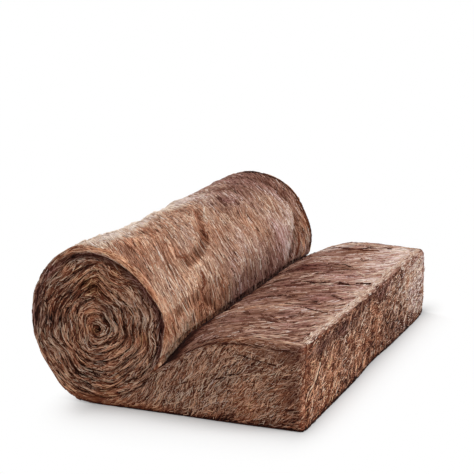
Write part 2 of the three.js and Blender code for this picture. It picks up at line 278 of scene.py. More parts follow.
# Single lines of wool that show on a face, such as cracks, crests and lips: tone and hue in
# hundredths, thickness of their strands, how far these spread, strands per metre, then one or
# more lines of places on the face, in thousandths of its length and its width.
TOP_TRACES = (
    # cracks in the upper face, dark strands that paint the shade in them
    (13, 40, 2.0, 0.0009, 600, ((520, 531), (600, 538), (696, 549), (800, 562), (868, 576),
     (933, 590))),
    (20, 40, 1.2, 0.0012, 220, ((450, 510), (520, 531))),
    (16, 35, 1.2, 0.001, 160, ((522, 320), (628, 319), (718, 336))),
    (30, 35, 1.2, 0.005, 300, ((540, 172), (672, 161), (726, 212), (766, 258))),
    (32, 35, 1.2, 0.005, 260, ((401, 228), (547, 206), (704, 170))),
    (26, 85, 1.2, 0.003, 320, ((246, 978), (366, 939), (491, 924), (636, 895), (734, 918))),
    (14, 40, 1.3, 0.001, 200, ((524, 703), (559, 728), (608, 745), (662, 727), (706, 719))),
    (30, 40, 1.2, 0.002, 160, ((669, 810), (725, 788), (745, 808))),
    (16, 35, 1.2, 0.001, 170, ((646, 288), (682, 302), (749, 295), (818, 284), (890, 289))),
    (16, 35, 1.2, 0.001, 180, ((764, 439), (813, 432), (891, 409))),
    (30, 45, 1.2, 0.002, 160, ((586, 45), (613, 74), (683, 80), (702, 110))),
    (34, 45, 1.2, 0.002, 160, ((500, 125), (550, 70), (571, 28))),
    (24, 35, 1.2, 0.001, 100, ((533, 157), (619, 145), (690, 154), (734, 176))),
    (22, 35, 1.2, 0.001, 100, ((517, 624), (580, 647), (624, 683))),
    (16, 35, 1.2, 0.001, 180, ((881, 339), (910, 372), (962, 366))),
    (24, 30, 1.6, 0.0025, 200, ((444, 925), (565, 900), (618, 936), (698, 952), (798, 953))),
    # its front edge
    (30, 60, 1.3, 0.0012, 170, ((300, 12), (422, 6), (550, 4))),
    (70, 45, 1.1, 0.0015, 200, ((620, 3), (750, 3), (867, 3), (990, 3))),
    # crests
    (84, 38, 1.1, 0.005, 340, ((970, 20), (965, 250), (965, 500), (965, 750), (970, 990))),
    (76, 33, 1.1, 0.006, 260, ((582, 35), (669, 60), (772, 60), (821, 100))),
    (74, 36, 1.1, 0.004, 200, ((657, 20), (762, 25), (877, 44), (944, 80))),
    (78, 35, 1.1, 0.005, 240, ((777, 156), (837, 200), (952, 217))),
    (80, 36, 1.1, 0.003, 240, ((491, 535), (617, 520), (715, 525))),
    (78, 36, 1.1, 0.003, 240, ((456, 560), (496, 615), (556, 650))),
    (78, 36, 1.2, 0.004, 220, ((581, 50), (620, 90), (712, 105), (798, 120), (893, 140),
     (952, 170))),
    (80, 40, 1.2, 0.002, 180, ((616, 35), (723, 28), (787, 37), (840, 60))),
    (82, 42, 1.3, 0.002, 260, ((650, 12), (757, 12), (866, 12), (984, 12))),
    (87, 36, 1.1, 0.0045, 300, ((985, 23), (960, 123), (968, 193), (967, 248)),
     ((941, 278), (970, 340), (984, 401)),
     ((950, 416), (967, 475), (962, 556)),
     ((940, 562), (973, 633)),
     ((930, 682), (952, 776), (959, 877), (966, 928), (985, 990))),
    (80, 40, 1.1, 0.002, 140, ((454, 561), (501, 585), (528, 622))),
    (82, 40, 1.1, 0.002, 160, ((500, 510), (578, 512), (667, 517), (717, 538))),
    (80, 40, 1.1, 0.002, 140, ((800, 447), (898, 443), (960, 434))),
    (84, 40, 1.1, 0.002, 180, ((769, 539), (835, 545), (889, 558), (924, 582))),
    (82, 40, 1.1, 0.002, 160, ((754, 682), (838, 650), (880, 680))),
    (82, 45, 1.2, 0.002, 200, ((250, 980), (355, 984), (505, 980), (636, 984), (754, 986),
     (880, 990), (976, 993))),
)
ROLL_TRACES = (
    # creases on the roll, painted dark as the shade in them, and lips
    (46, 64, 1.3, 0.006, 420, ((634, 491), (676, 438), (714, 401), (733, 386), (750, 340),
     (758, 281), (757, 235), (748, 186))),
    (24, 55, 1.2, 0.002, 200, ((700, 410), (733, 386), (748, 345), (756, 300))),
    (42, 64, 1.3, 0.004, 380, ((800, 243), (825, 242), (842, 236), (854, 217), (855, 154),
     (858, 128), (862, 103))),
    (44, 64, 1.2, 0.008, 420, ((857, 226), (888, 228), (905, 200))),
    (90, 40, 1.1, 0.003, 160, ((691, 136), (728, 122), (766, 102), (806, 99), (841, 83))),
    (90, 40, 1.1, 0.0015, 180, ((616, 573), (661, 496), (694, 444))),
    (90, 42, 1.1, 0.0015, 160, ((744, 135), (799, 118), (828, 108))),
    (90, 42, 1.0, 0.001, 120, ((806, 89), (861, 91))),
    (88, 30, 1.2, 0.002, 200, ((686, 142), (721, 114))),
    (86, 36, 1.0, 0.0008, 170, ((751, 852), (795, 858), (839, 876), (881, 886), (911, 878),
     (940, 862))),
    (36, 64, 1.3, 0.003, 360, ((828, 906), (861, 914), (888, 907), (930, 886))),
    (20, 45, 1.3, 0.0012, 420, ((560, 997), (700, 997), (791, 997), (868, 997), (930, 997))),
    (30, 90, 1.3, 0.003, 300, ((760, 985), (840, 985), (880, 990))),
    (80, 70, 1.1, 0.004, 200, ((880, 955), (913, 950), (945, 935))),
    (30, 20, 1.4, 0.005, 420, ((624, 664), (677, 617))),
    (38, 30, 1.3, 0.005, 260, ((586, 717), (606, 760), (623, 790))),
    # a painted highlight along the roll's top
    (97, 40, 1.2, 0.008, 500, ((520, 20), (520, 200), (520, 350), (520, 450), (515, 580))),
)
CUT_TRACES = (
    # a crease in the square cut, painted dark as shade, and frayed layers
    (10, 55, 1.7, 0.0008, 260, ((583, 115), (513, 91), (468, 67), (445, 32), (386, 14))),
    (88, 55, 1.6, 0.001, 260, ((583, 107), (513, 83), (468, 58), (445, 24), (386, 6))),
    # a painted contact shadow along the foot of the cut
    (6, 40, 1.4, 0.001, 330, ((20, 10), (20, 990))),
    (70, 65, 1.1, 0.002, 120, ((790, 64), (717, 36), (650, 10))),
    (74, 60, 1.1, 0.0015, 120, ((936, 379), (817, 342), (707, 313))),
    (14, 35, 1.3, 0.002, 160, ((385, 539), (355, 500), (340, 440))),
)
NEAR_SIDE_TRACES = (
    # a painted contact shadow along the foot of the side
    (10, 50, 1.3, 0.001, 240, ((50, 30), (350, 30), (990, 30))),
    # layers parting in the free blanket's near side, the partings painted dark as shade
    (20, 45, 1.3, 0.0015, 150, ((440, 980), (550, 940), (620, 872), (690, 822), (770, 825),
     (840, 823), (910, 820), (980, 835))),
    (54, 45, 1.2, 0.002, 130, ((770, 870), (839, 766), (896, 721), (948, 701))),
    (18, 40, 1.2, 0.001, 120, ((684, 683), (716, 695), (755, 677), (815, 662), (885, 646))),
    (14, 45, 1.2, 0.001, 130, ((598, 513), (649, 519), (721, 547), (729, 572))),
    (20, 45, 1.2, 0.001, 130, ((392, 506), (418, 542), (471, 538))),
    (16, 50, 1.2, 0.001, 130, ((923, 329), (959, 347), (985, 334))),
)
TRACES = {"top": TOP_TRACES, "roll": ROLL_TRACES, "cut": CUT_TRACES,
          "near_slab_side": NEAR_SIDE_TRACES}

STEP = 2 * math.pi / STEPS_PER_TURN
MEAN_RADIUS = ROLL_HEIGHT / 2
TURN_PITCH = (math.pi * ROLL_SQUASH * (MEAN_RADIUS ** 2 - EYE_RADIUS ** 2)
              / (BLANKET_LENGTH - FREE_LENGTH))
OUTER_RADIUS = MEAN_RADIUS + TURN_PITCH / 4
LAST_STEP = int((OUTER_RADIUS - EYE_RADIUS) / TURN_PITCH * STEPS_PER_TURN)
NIP_STEP = STEPS_PER_TURN - NIP_STEPS_LEFT


def spiral_radius(angle):
    """Radius of the blanket's outer face after winding inwards by an angle from the floor."""
    return OUTER_RADIUS - TURN_PITCH * angle / (2 * math.pi)


def section_point(angle, radius):
    """A point of the roll's section at a winding angle and a radius, as (x, z) from the axis."""
    sag = CENTRE_SAG * (1 - np.clip(radius, 0, None) / OUTER_RADIUS)
    x = -np.sin(angle) * radius * ROLL_SQUASH
    z = OUTER_RADIUS - sag - np.cos(angle) * radius
    return np.stack([x, z], -1)


def spiral_point(step):
    angle = np.asarray(step) * STEP
    return section_point(angle, spiral_radius(angle))


def smoothstep(x):
    x = np.clip(x, 0, 1)
    return x * x * (3 - 2 * x)


def ramp(value, start, way):
    """Grows smoothly from 0 at the start to 1 at the end of the way, which may run backwards."""
    return smoothstep((value - start) / way)


def bump(value, width):
    """1 where the value is zero, falling off smoothly on both sides."""
    return np.exp(-(value / width) ** 2)


# ---- The skin as grids
# Every grid holds points in rows along the blanket's length. Points where grids meet fall on
# the same place and are merged afterwards, so the skin is one closed mesh.


class Grid:
    """A sheet of points: where they are, and how the wool runs there."""

    def __init__(self, name, points, flow, flip=False):
        self.name = name
        self.points = points          # (along, across, 3)
        self.flow = flow              # (along, across, 3): along the wool, across it, through it
        self.flip = flip              # True where the faces have to be turned round
        self.ids = None               # the merged vertex of each point
        self.shown = 1                # 0 for cells that another part of the blanket covers


def climb_share(y):
    """How high the free blanket clings to the roll at a place along the axis, from 0 to 1."""
    near = np.sin(np.clip((np.asarray(y) - LOW[1]) / CLIMB_NEAR_REACH, 0, 1) * math.pi / 2)
    far = smoothstep((np.asarray(y) - HIGH[1]) / CLIMB_FAR_REACH + 1)
    return near * (1 - CLIMB_FAR_LOSS * far)


def contact_angle(y):
    """Winding angle at which the free blanket's upper face leaves the roll."""
    return NIP_STEP * STEP - CLIMB_ANGLE * climb_share(y)


def top_curve(count, y):
    """The free blanket's upper face from the nip to the square cut, evenly spaced."""
    leaving = contact_angle(y) / STEP
    clinging = spiral_point(np.linspace(NIP_STEP, leaving, CURVE_STEPS[0]))
    climb = climb_share(y)
    slope = NIP_RUNOUT_SLOPE + (CLIMB_RUNOUT_SLOPE - NIP_RUNOUT_SLOPE) * climb
    start = clinging[-1]
    crest = np.array([CREST_FROM_AXIS, BLANKET_THICKNESS + CREST_RISE])
    shoulder = crest - [CREST_ROUNDNESS, 0]
    runout = start + NIP_RUNOUT * np.array([math.cos(slope), math.sin(slope)])
    t = np.linspace(0, 1, CURVE_STEPS[1])[1:, None]
    curve = ((1 - t) ** 3 * start + 3 * (1 - t) ** 2 * t * runout
             + 3 * (1 - t) * t * t * shoulder + t ** 3 * crest)
    curve = np.vstack([clinging, curve, [FREE_LENGTH, BLANKET_THICKNESS]])
    run = np.concatenate([[0], np.cumsum(norm(np.diff(curve, axis=0), axis=1))])
    places = np.linspace(0, run[-1], count + 1)
    return np.stack([np.interp(places, run, curve[:, axis]) for axis in (0, 1)], -1)


def free_edges(y):
    """Lower and upper edges of the free blanket's section, from the floor tangent to the cut."""
    under_roll = spiral_point(np.arange(STEPS_PER_TURN, NIP_STEP, -1))
    top = top_curve(TOP_COLUMNS, y)
    upper = np.vstack([under_roll, top])
    share = np.linspace(0, 1, TOP_COLUMNS + 1)
    lower_x = np.linspace(0, LEAVES_ROLL, NIP_STEPS_LEFT + 1)[:-1]
    lower_x = np.concatenate([lower_x, LEAVES_ROLL + (FREE_LENGTH - LEAVES_ROLL) * share])
    lower = np.stack([lower_x, np.zeros_like(lower_x)], -1)
    return lower, upper


def nip_distance(x, y, z):
    """How far places are from the line where the free blanket meets the roll."""
    nip = spiral_point(contact_angle(y) / STEP)
    return np.hypot(x - nip[..., 0], z - nip[..., 1])


def turned_flow(flow, axis, angle):
    """Flow whose first direction is turned towards another of its directions."""
    out = flow.copy()
    out[..., 0] = flow[..., 0] * math.cos(angle) + flow[..., axis] * math.sin(angle)
    out[..., axis] = flow[..., axis] * math.cos(angle) - flow[..., 0] * math.sin(angle)
    return out


def swept(y, points, headings):
    """Places across a long face, the same all along each fibre that follows the headings."""
    middle = points[:, points.shape[1] // 2]
    stretch = norm(np.diff(middle, axis=0, prepend=middle[:1]), axis=1)
    turn = np.interp(np.linspace(0, 1, len(points)), *np.array(headings, float).T)
    return y - np.cumsum(stretch * np.tan(np.radians(turn)))[:, None]


def layer_shares(count, crowding):
    """Shares of the thickness, closer together near both faces."""
    even = np.linspace(0, 1, count)
    return even - crowding * np.sin(2 * math.pi * even) / (2 * math.pi)


def shoulder_depth(share, thickness, depth, radius):
    """How far a layer's end sinks from the end face near its two edges."""
    inset = np.minimum(share, 1 - share) * thickness
    reach = np.minimum(radius, thickness / 2)
    return depth * (1 - np.sqrt(1 - (1 - np.clip(inset / reach, 0, 1)) ** 2))


def soften_cut(section):
    """Rounds the two long corners of the square cut."""
    out = section.copy()
    for corner_z, up, radius in ((BLANKET_THICKNESS, 1, CUT_TOP_RADIUS),
                                 (0, -1, CUT_BOTTOM_RADIUS)):
        a = (out[..., 0] - (FREE_LENGTH - radius)) / radius
        b = (out[..., 1] - (corner_z - up * radius)) * up / radius
        near = (a > 0) & (b > 0)
        a, b = np.clip(a, 0, 1), np.clip(b, 0, 1)
        x = FREE_LENGTH - radius + radius * a * np.sqrt(1 - b * b / 2)
        z = corner_z - up * radius + up * radius * b * np.sqrt(1 - a * a / 2)
        out[near] = np.stack([x, z], -1)[near]
    return out


def rim_share(z):
    """The ends' soft edges are crisper where the blanket lies on the floor."""
    return CRISP_RIM + (1 - CRISP_RIM) * smoothstep(z / FLOOR_REACH)


def drifted(section, turns_in, far):
    """Section points of the wound turns pushed about, as turns that were never wound evenly."""
    x, z = section[..., 0], section[..., 1] - MEAN_RADIUS
    radius = np.hypot(x, z) / MEAN_RADIUS
    inside = ramp(turns_in, *DRIFT_TURNS) * smoothstep(radius / DRIFT_RADIUS)
    rng = np.random.default_rng(DRIFT_SEEDS[far])
    out = section.copy()
    for wave, size in DRIFT_WAVES:
        for axis in (0, 1):
            turn, phase = rng.uniform(0, 2 * math.pi, 2)
            run = (x * math.cos(turn) + z * math.sin(turn)) * 2 * math.pi / wave
            out[..., axis] += size * inside * np.sin(run + phase)
    peak_x, peak_z, rise, half_width, half_height = PEAK
    share = np.exp(-np.abs(x - peak_x) / half_width - ((z - peak_z) / half_height) ** 2)
    out[..., 1] += rise * inside * share
    out[..., 0] += EYE_SHIFT * (1 - smoothstep(radius / EYE_SHIFT_REACH))
    return out


def end_band(around, share):
    """How much of a place on an end is in the turn that sits back, and how much outside it."""
    angles, middles, half_widths, shows = np.array(END_BAND, float).T
    gap = (share - np.interp(around, angles, middles)) / np.interp(around, angles, half_widths)
    shows = np.interp(around, angles, shows)
    return shows * np.exp(-gap ** 4), shows * ramp(gap, *LIP_SPAN)


def loosened(points):
    """The last turn standing off at both ends of the roll, and the free blanket sprung back."""
    x, y, z = points[:, 0] - AXIS_X, points[:, 1], points[:, 2] - MEAN_RADIUS
    radius = np.hypot(x, z)
    around = np.degrees(np.arctan2(-x, -z)) % 360
    share = ramp(radius / MEAN_RADIUS, *STAND_OFF_SHARE)
    stand_off = np.zeros(len(points))
    for end, reach, offsets in END_SHAPES:
        angles, sizes = np.array(offsets, float).T
        stand_off += np.interp(around, angles, sizes / MILLI) * bump(y - end, reach)
    growth = share * stand_off / np.maximum(radius, EYE_RADIUS)
    out = points.copy()
    out[:, 0] += x * growth
    out[:, 2] += z * growth
    band, _ = end_band(around, radius * (1 + growth) / MEAN_RADIUS)
    at_end = ramp(np.abs(y) - BLANKET_WIDTH / 2, *BAND_FROM_END)
    out[:, 1] -= np.sign(y) * BAND_DEPTH * band * at_end
    from_near = y - LOW[1]
    rise = SPRING_RISE * (1 - smoothstep(from_near / SPRING_REACH)) / BLANKET_THICKNESS
    out[:, 2] *= 1 + rise * ramp(x, *SPRING_SPAN)
    low = 1 - smoothstep(points[:, 2] / FOOT_HEIGHT)
    spread = FOOT_SPREAD + FOOT_MORE_SPREAD * ramp(x, *FOOT_SPAN)
    out[:, 1] -= spread * low * (1 - smoothstep(from_near / FOOT_FROM_END))
    held = sum(bump(y - place, width) for place, width in CUT_FOOT_HELD)
    out[:, 0] += CUT_FOOT_SPREAD * low * (1 - held) * ramp(x, *CUT_FOOT_SPAN)
    return out


def on_side(section, depth, far):
    """Section points placed on one end of the blanket, sunk by a depth."""
    depth = depth * rim_share(section[..., 1])
    y = HIGH[1] - depth if far else LOW[1] + depth
    return np.stack([section[..., 0] + AXIS_X, y, section[..., 1]], -1)


def wound_length(step):
    angle = np.asarray(step) * STEP
    return OUTER_RADIUS * angle - TURN_PITCH * angle ** 2 / (4 * math.pi)


def side_grids(far, rim_depth, rim_radius):
    """One end of the blanket: the free part's side, the wound turns and the eye."""
    name = "far" if far else "near"
    y_edge = BLANKET_WIDTH if far else 0.0

    def end_flow(run, shares, thickness):
        return np.stack([np.broadcast_to(run[:, None], shares.shape),
                         np.full(shares.shape, y_edge), shares * thickness], -1)

    lower, upper = free_edges(HIGH[1] if far else LOW[1])
    shares = np.tile(layer_shares(SLAB_LAYERS, SLAB_CROWDING), (len(lower), 1))
    coarse = layer_shares(TURN_LAYERS, TURN_CROWDING)
    snapped = np.round(np.linspace(0, TURN_LAYERS - 1, SLAB_LAYERS)).astype(int)
    shares[0] = coarse[snapped]
    section = lower[:, None] * (1 - shares[..., None]) + upper[:, None] * shares[..., None]
    thickness = norm(upper - lower, axis=1)[:, None]
    depth = shoulder_depth(shares, thickness, rim_depth, rim_radius)
    run_out = shoulder_depth(
        0.5 * (1 - lower[:, 0] / FREE_LENGTH)[:, None], 2 * FREE_LENGTH, rim_depth, rim_radius)
    depth = rim_depth - (rim_depth - depth) * (rim_depth - run_out) / rim_depth
    flow = turned_flow(end_flow(-lower[:, 0], shares, thickness), 2, -SIDE_FIBRE_TURN)
    free = Grid(name + "_slab_side", on_side(soften_cut(section), depth, far), flow, far)

    steps = np.arange(LAST_STEP + 1)
    angle = steps * STEP
    outer = spiral_radius(angle)
    last_turn = (steps - (LAST_STEP - STEPS_PER_TURN)) / STEPS_PER_TURN
    eye = EYE_RADIUS * (1 - EYE_NARROWING * np.clip(last_turn, 0, 1))
    inner = np.where(last_turn > 0, eye, outer - TURN_PITCH)
    inner_sag = np.where(last_turn > 0, inner, spiral_radius(angle + 2 * math.pi))
    shares = np.tile(coarse, (len(steps), 1))
    radius = outer[:, None] * (1 - shares) + inner_sag[:, None] * shares
    section = section_point(angle[:, None], radius)
    thickness = (outer - inner)[:, None]
    depth = shoulder_depth(shares, thickness, rim_depth, rim_radius)
    flow = end_flow(wound_length(steps), shares, thickness)
    section = drifted(section, steps[:, None] / STEPS_PER_TURN + shares, far)
    turns = Grid(name + "_turns", on_side(section, depth, far), flow, not far)
    free.points[0] = turns.points[0][snapped]

    rim = np.concatenate([turns.points[LAST_STEP - STEPS_PER_TURN:, -1],
                          turns.points[-1, -2:0:-1]])
    centre = rim.mean(0)
    inwards = -1 if far else 1
    rings = [rim] + [centre + (rim - centre) * size + [0, inwards * sunk, 0]
                     for size, sunk in PIT_RINGS]
    rings.append(np.repeat([centre + [0, inwards * PIT_RINGS[-1][1], 0]], len(rim), axis=0))
    pit = np.array([np.vstack([ring, ring[:1]]) for ring in rings])
    flow = np.broadcast_to([wound_length(LAST_STEP), y_edge, 0.0], pit.shape)
    return [free, turns, Grid(name + "_eye", pit, flow, far)]


def skin_grids(rim_depth, rim_radius):
    """All the grids of the skin. Across runs along the roll's axis on the long faces."""
    grids = side_grids(False, rim_depth, rim_radius) + side_grids(True, rim_depth, rim_radius)
    width_shares = np.linspace(0, 1, ROWS)
    rows = LOW[1] + BLANKET_WIDTH * width_shares

    def long_face(name, section, along, through, flip=False, turn=0.0, headings=((0, 0),)):
        section = soften_cut(section)
        inset = rim_depth * rim_share(section[..., 1])
        y = LOW[1] + inset + (BLANKET_WIDTH - 2 * inset) * width_shares
        points = np.stack([section[..., 0] + AXIS_X, y, section[..., 1]], -1)
        flow = np.stack([np.broadcast_to(along, y.shape), swept(y - LOW[1], points, headings),
                         np.broadcast_to(through, y.shape)], -1)
        grids.append(Grid(name, points, turned_flow(flow, 1, turn), flip))

    def same_all_along(section):
        return np.repeat(section[:, None], ROWS, axis=1)

    steps = np.arange(NIP_STEP + 1)
    long_face("roll", same_all_along(spiral_point(steps)), wound_length(steps)[:, None], 0.0,
              headings=ROLL_HEADING)
    edges = [free_edges(y) for y in rows]
    lower = np.stack([low for low, _ in edges], 1)
    top = np.stack([high[NIP_STEPS_LEFT:] for _, high in edges], 1)
    long_face("top", top, -lower[NIP_STEPS_LEFT:, :, 0], BLANKET_THICKNESS,
              headings=TOP_HEADING)
    long_face("underside", lower, -lower[..., 0], 0.0, True)
    layers = layer_shares(SLAB_LAYERS, SLAB_CROWDING)[:, None, None]
    cut = lower[-1] * (1 - layers) + top[-1] * layers
    long_face("cut", cut, layers[..., 0] * BLANKET_THICKNESS, -FREE_LENGTH, True,
              math.pi / 2 - CUT_FIBRE_TURN)
    roll, top = grids[-4], grids[-3]
    leaving = contact_angle(rows)
    roll.shown = (steps[:, None] * STEP <= leaving)[:-1, :-1]
    free_from = spiral_point(leaving / STEP)[:, 0] - HAIR
    top.shown = (top.points[..., 0] - AXIS_X >= free_from)[:-1, :-1]
    return grids


def merge_grids(grids):
    """Merges the grids' common points. Gives vertices, their flow, faces and each face's corners."""
    points = np.concatenate([grid.points.reshape(-1, 3) for grid in grids])
    flows = np.concatenate([grid.flow.reshape(-1, 3) for grid in grids])
    keys = np.round(points / SAME_PLACE).astype(np.int64)
    _, first, merged = np.unique(keys, axis=0, return_index=True, return_inverse=True)
    merged = merged.ravel()
    faces, corners, start = [], [], 0
    for grid in grids:
        along, across = grid.points.shape[:2]
        local = np.arange(start, start + along * across).reshape(along, across)
        grid.ids = merged[local]
        quads = np.stack([local[:-1, :-1], local[1:, :-1], local[1:, 1:], local[:-1, 1:]], -1)
        quads = quads.reshape(-1, 4)
        if grid.flip:
            quads = quads[:, ::-1]
        for quad in quads:
            seen, face = [], []
            for corner in quad:
                if merged[corner] not in seen:
                    seen.append(merged[corner])
                    face.append(corner)
            if len(face) > 2:
                faces.append(seen)
                corners.append(face)
        start += along * across
    return points[first], flows[first], faces, corners


# ---- Node trees


class Tree:
    """Short calls that build a node tree."""

    def __init__(self, tree):
        self.tree = tree

    def add(self, kind, inputs=None, **settings):
        node = self.tree.nodes.new(kind)
        for key, value in settings.items():
            setattr(node, key, value)
        for key, value in (inputs or {}).items():
            self.feed(node.inputs[key], value)
        return node

    def out(self, kind, inputs=None, **settings):
        """The first output of a new node."""
        return self.add(kind, inputs, **settings).outputs[0]

    def feed(self, socket, value):
        if isinstance(value, bpy.types.NodeSocket):
            self.tree.links.new(value, socket)
        else:
            socket.default_value = value

    def math(self, operation, a, b=0.0, clamp=False):
        return self.out("ShaderNodeMath", {0: a, 1: b}, operation=operation,
                        use_clamp=clamp)

    def product(self, value, *factors):
        for factor in factors:
            value = self.math("MULTIPLY", value, factor)
        return value

    def vector(self, operation, a, b):
        return self.out("ShaderNodeVectorMath", {0: a, 1: b}, operation=operation)

    def scaled(self, a, factor):
        node = self.add("ShaderNodeVectorMath", {0: a, "Scale": factor}, operation="SCALE")
        return node.outputs[0]

    def noise(self, vector, scale, detail, roughness, distortion):
        return self.out("ShaderNodeTexNoise", {
            "Vector": vector, "Scale": scale, "Detail": detail, "Roughness": roughness,
            "Distortion": distortion})

    def grain(self, vector, waves, *character):
        """Noise with so many waves per metre in each direction of the wool."""
        return self.noise(self.vector("MULTIPLY", vector, waves), 1.0, *character)

    def swing(self, value, amount):
        """Turns a noise from 0 to 1 into a swing either side of zero."""
        return self.product(self.math("SUBTRACT", value, 0.5), amount)

    def named(self, name, kind="FLOAT"):
        return self.out("GeometryNodeInputNamedAttribute", {"Name": name},
                        data_type=kind)

    def store(self, geometry, name, value, kind="FLOAT", domain="POINT"):
        return self.out("GeometryNodeStoreNamedAttribute", {
            "Geometry": geometry, "Name": name, "Value": value},
            data_type=kind, domain=domain)


def geometry_tree(name, sizes):
    """A new Geometry Nodes tree with a geometry going in and out and a named input per size."""
    group = bpy.data.node_groups.new(name, "GeometryNodeTree")
    group.interface.new_socket("Geometry", in_out="INPUT", socket_type="NodeSocketGeometry")
    group.interface.new_socket("Geometry", in_out="OUTPUT", socket_type="NodeSocketGeometry")
    for label, kind, default in sizes:
        socket = group.interface.new_socket(label, in_out="INPUT", socket_type=kind)
        if default is not None:
            socket.default_value = default
    nodes = Tree(group)
    return nodes, nodes.add("NodeGroupInput"), nodes.add("NodeGroupOutput")


def placed(name, data):
    """A new object in the scene that shows the data."""
    thing = bpy.data.objects.new(name, data)
    bpy.context.scene.collection.objects.link(thing)
    return thing


def modified_mesh(mesh, group, values, name):
    """The mesh that a Geometry Nodes tree makes of a mesh, with nothing live left on it."""
    carrier = placed(name, mesh)
    modifier = carrier.modifiers.new(group.name, "NODES")
    modifier.node_group = group
    for item in group.interface.items_tree:
        if item.item_type == "SOCKET" and item.in_out == "INPUT" and item.name in values:
            modifier[item.identifier] = values[item.name]
    depsgraph = bpy.context.evaluated_depsgraph_get()
    made = bpy.data.meshes.new_from_object(
        carrier.evaluated_get(depsgraph), preserve_all_data_layers=True, depsgraph=depsgraph)
    carrier.modifiers.remove(modifier)
    bpy.data.objects.remove(carrier)
    bpy.data.meshes.remove(mesh)
    made.name = name
    return made


# Waves per metre along the wool, across it and through it, then detail, roughness, distortion.
FOLD_GRAIN = (5.0, 36.0, 36.0), 2.0, 0.5, 0.5
STREAK_GRAIN = (16.0, 170.0, 170.0), 2.0, 0.6, 0.8
LAYER_GRAIN = (7.0, 7.0, 120.0), 2.5, 0.6, 0.7
FINE_GRAIN = (26.0, 250.0, 250.0), 2.0, 0.6, 0.4
BROAD_GRAIN = (12.0, 90.0, 90.0), 2.0, 0.55, 0.5
LUMP_NOISE = 1.6, 0.45, 0.25            # detail, roughness, distortion
PATCH_NOISE = 9.0, 2.5, 0.6, 0.4        # the same after the scale
BILLOW = 4.0                            # how steeply the lumps rise from their valleys
FAR_OFF = 10.0                          # further than anything reaches
RELIEF_SIZES = ("lump_depth", "lump_size", "valley_depth", "fold_depth", "streak_depth",
                "layer_depth")


def relief_tree(sizes):
    """Moves the skin in and out: soft lumps, valleys, folds, fine streaks and uneven layers."""
    nodes, start, end = geometry_tree("wool_relief", [
        (label, "NodeSocketFloat", size) for label, size in sizes.items()])
    sizes = start.outputs
    place = nodes.out("GeometryNodeInputPosition")
    flow = nodes.named("flow", "FLOAT_VECTOR")
    per_lump = nodes.math("DIVIDE", 1.0, sizes["Lump size"])
    billow = nodes.math("ABSOLUTE", nodes.swing(nodes.noise(place, per_lump, *LUMP_NOISE), BILLOW))
    billow = nodes.math("MINIMUM", billow, 1.0)
    fold = nodes.grain(flow, *FOLD_GRAIN)
    streak = nodes.grain(flow, *STREAK_GRAIN)
    layer = nodes.grain(flow, *LAYER_GRAIN)
    patch = nodes.noise(place, *PATCH_NOISE)

    lumps = nodes.product(nodes.math("SUBTRACT", billow, 0.5), sizes["Lump depth"],
                          nodes.named("softness"))
    folds = nodes.product(nodes.swing(fold, 2.0), sizes["Fold depth"], nodes.named("folding"))
    streaks = nodes.product(nodes.swing(streak, 2.0), sizes["Streak depth"])
    layers = nodes.product(nodes.swing(layer, 2.0), sizes["Layer depth"], nodes.named("layering"))
    valleys = nodes.product(nodes.named("valley"), sizes["Valley depth"])
    move = nodes.math("ADD", nodes.math("ADD", lumps, folds), nodes.math("ADD", streaks, layers))
    move = nodes.product(nodes.math("SUBTRACT", move, valleys), nodes.named("freedom"))

    skin = start.outputs[0]
    for name, value in (("lump", billow), ("fold", fold), ("layer", layer), ("patch", patch)):
        skin = nodes.store(skin, name, value)
    normal = nodes.out("GeometryNodeInputNormal")
    skin = nodes.out("GeometryNodeSetPosition", {
        "Geometry": skin, "Offset": nodes.scaled(normal, move)})
    floored = nodes.vector("MAXIMUM", place, (-FAR_OFF, -FAR_OFF, 0.0))
    skin = nodes.out("GeometryNodeSetPosition", {"Geometry": skin, "Position": floored})
    nodes.feed(end.inputs[0], skin)
    return nodes.tree


MAP_SPOT = 0.012          # how far a strand spreads on its map from its own tone and hue


def strand_tree():
    """Turns each line of points into a closed, tapering strand whose colours sit on its own map."""
    nodes, start, end = geometry_tree("wool_strands", [
        ("Sides", "NodeSocketInt", 3), ("Material", "NodeSocketMaterial", None),
    ])
    line = nodes.out("GeometryNodeMeshToCurve", {0: start.outputs[0]})
    along = nodes.add("GeometryNodeSplineParameter").outputs["Factor"]
    line = nodes.store(line, "along", along)
    ring = nodes.out("GeometryNodeCurvePrimitiveCircle", {
        "Resolution": start.outputs["Sides"], "Radius": 1.0})
    ring = nodes.store(ring, "around", along)
    tube = nodes.out("GeometryNodeCurveToMesh", {
        "Curve": line, "Profile Curve": ring, "Scale": nodes.named("girth"),
        "Fill Caps": True})
    u, v = (nodes.math("ADD", nodes.named(shade), nodes.product(nodes.named(way), MAP_SPOT))
            for shade, way in (("tone", "along"), ("hue", "around")))
    swatch = nodes.out("ShaderNodeCombineXYZ", {0: u, 1: v})
    tube = nodes.store(tube, "OFBake", swatch, "FLOAT2", "CORNER")
    tube = nodes.out("GeometryNodeSetShadeSmooth", {0: tube})
    tube = nodes.out("GeometryNodeRealizeInstances", {0: tube})
    tube = nodes.out("GeometryNodeSetMaterial", {
        "Geometry": tube, "Material": start.outputs["Material"]})
    nodes.feed(end.inputs[0], tube)
    return nodes.tree


# ---- Finishes


def linear(colour):
    """A colour as written on a screen, from 0 to 255, in linear values by the sRGB standard."""
    shares = np.asarray(colour) / 255
    return tuple(np.where(shares <= 0.04045, shares / 12.92, ((shares + 0.055) / 1.055) ** 2.4))


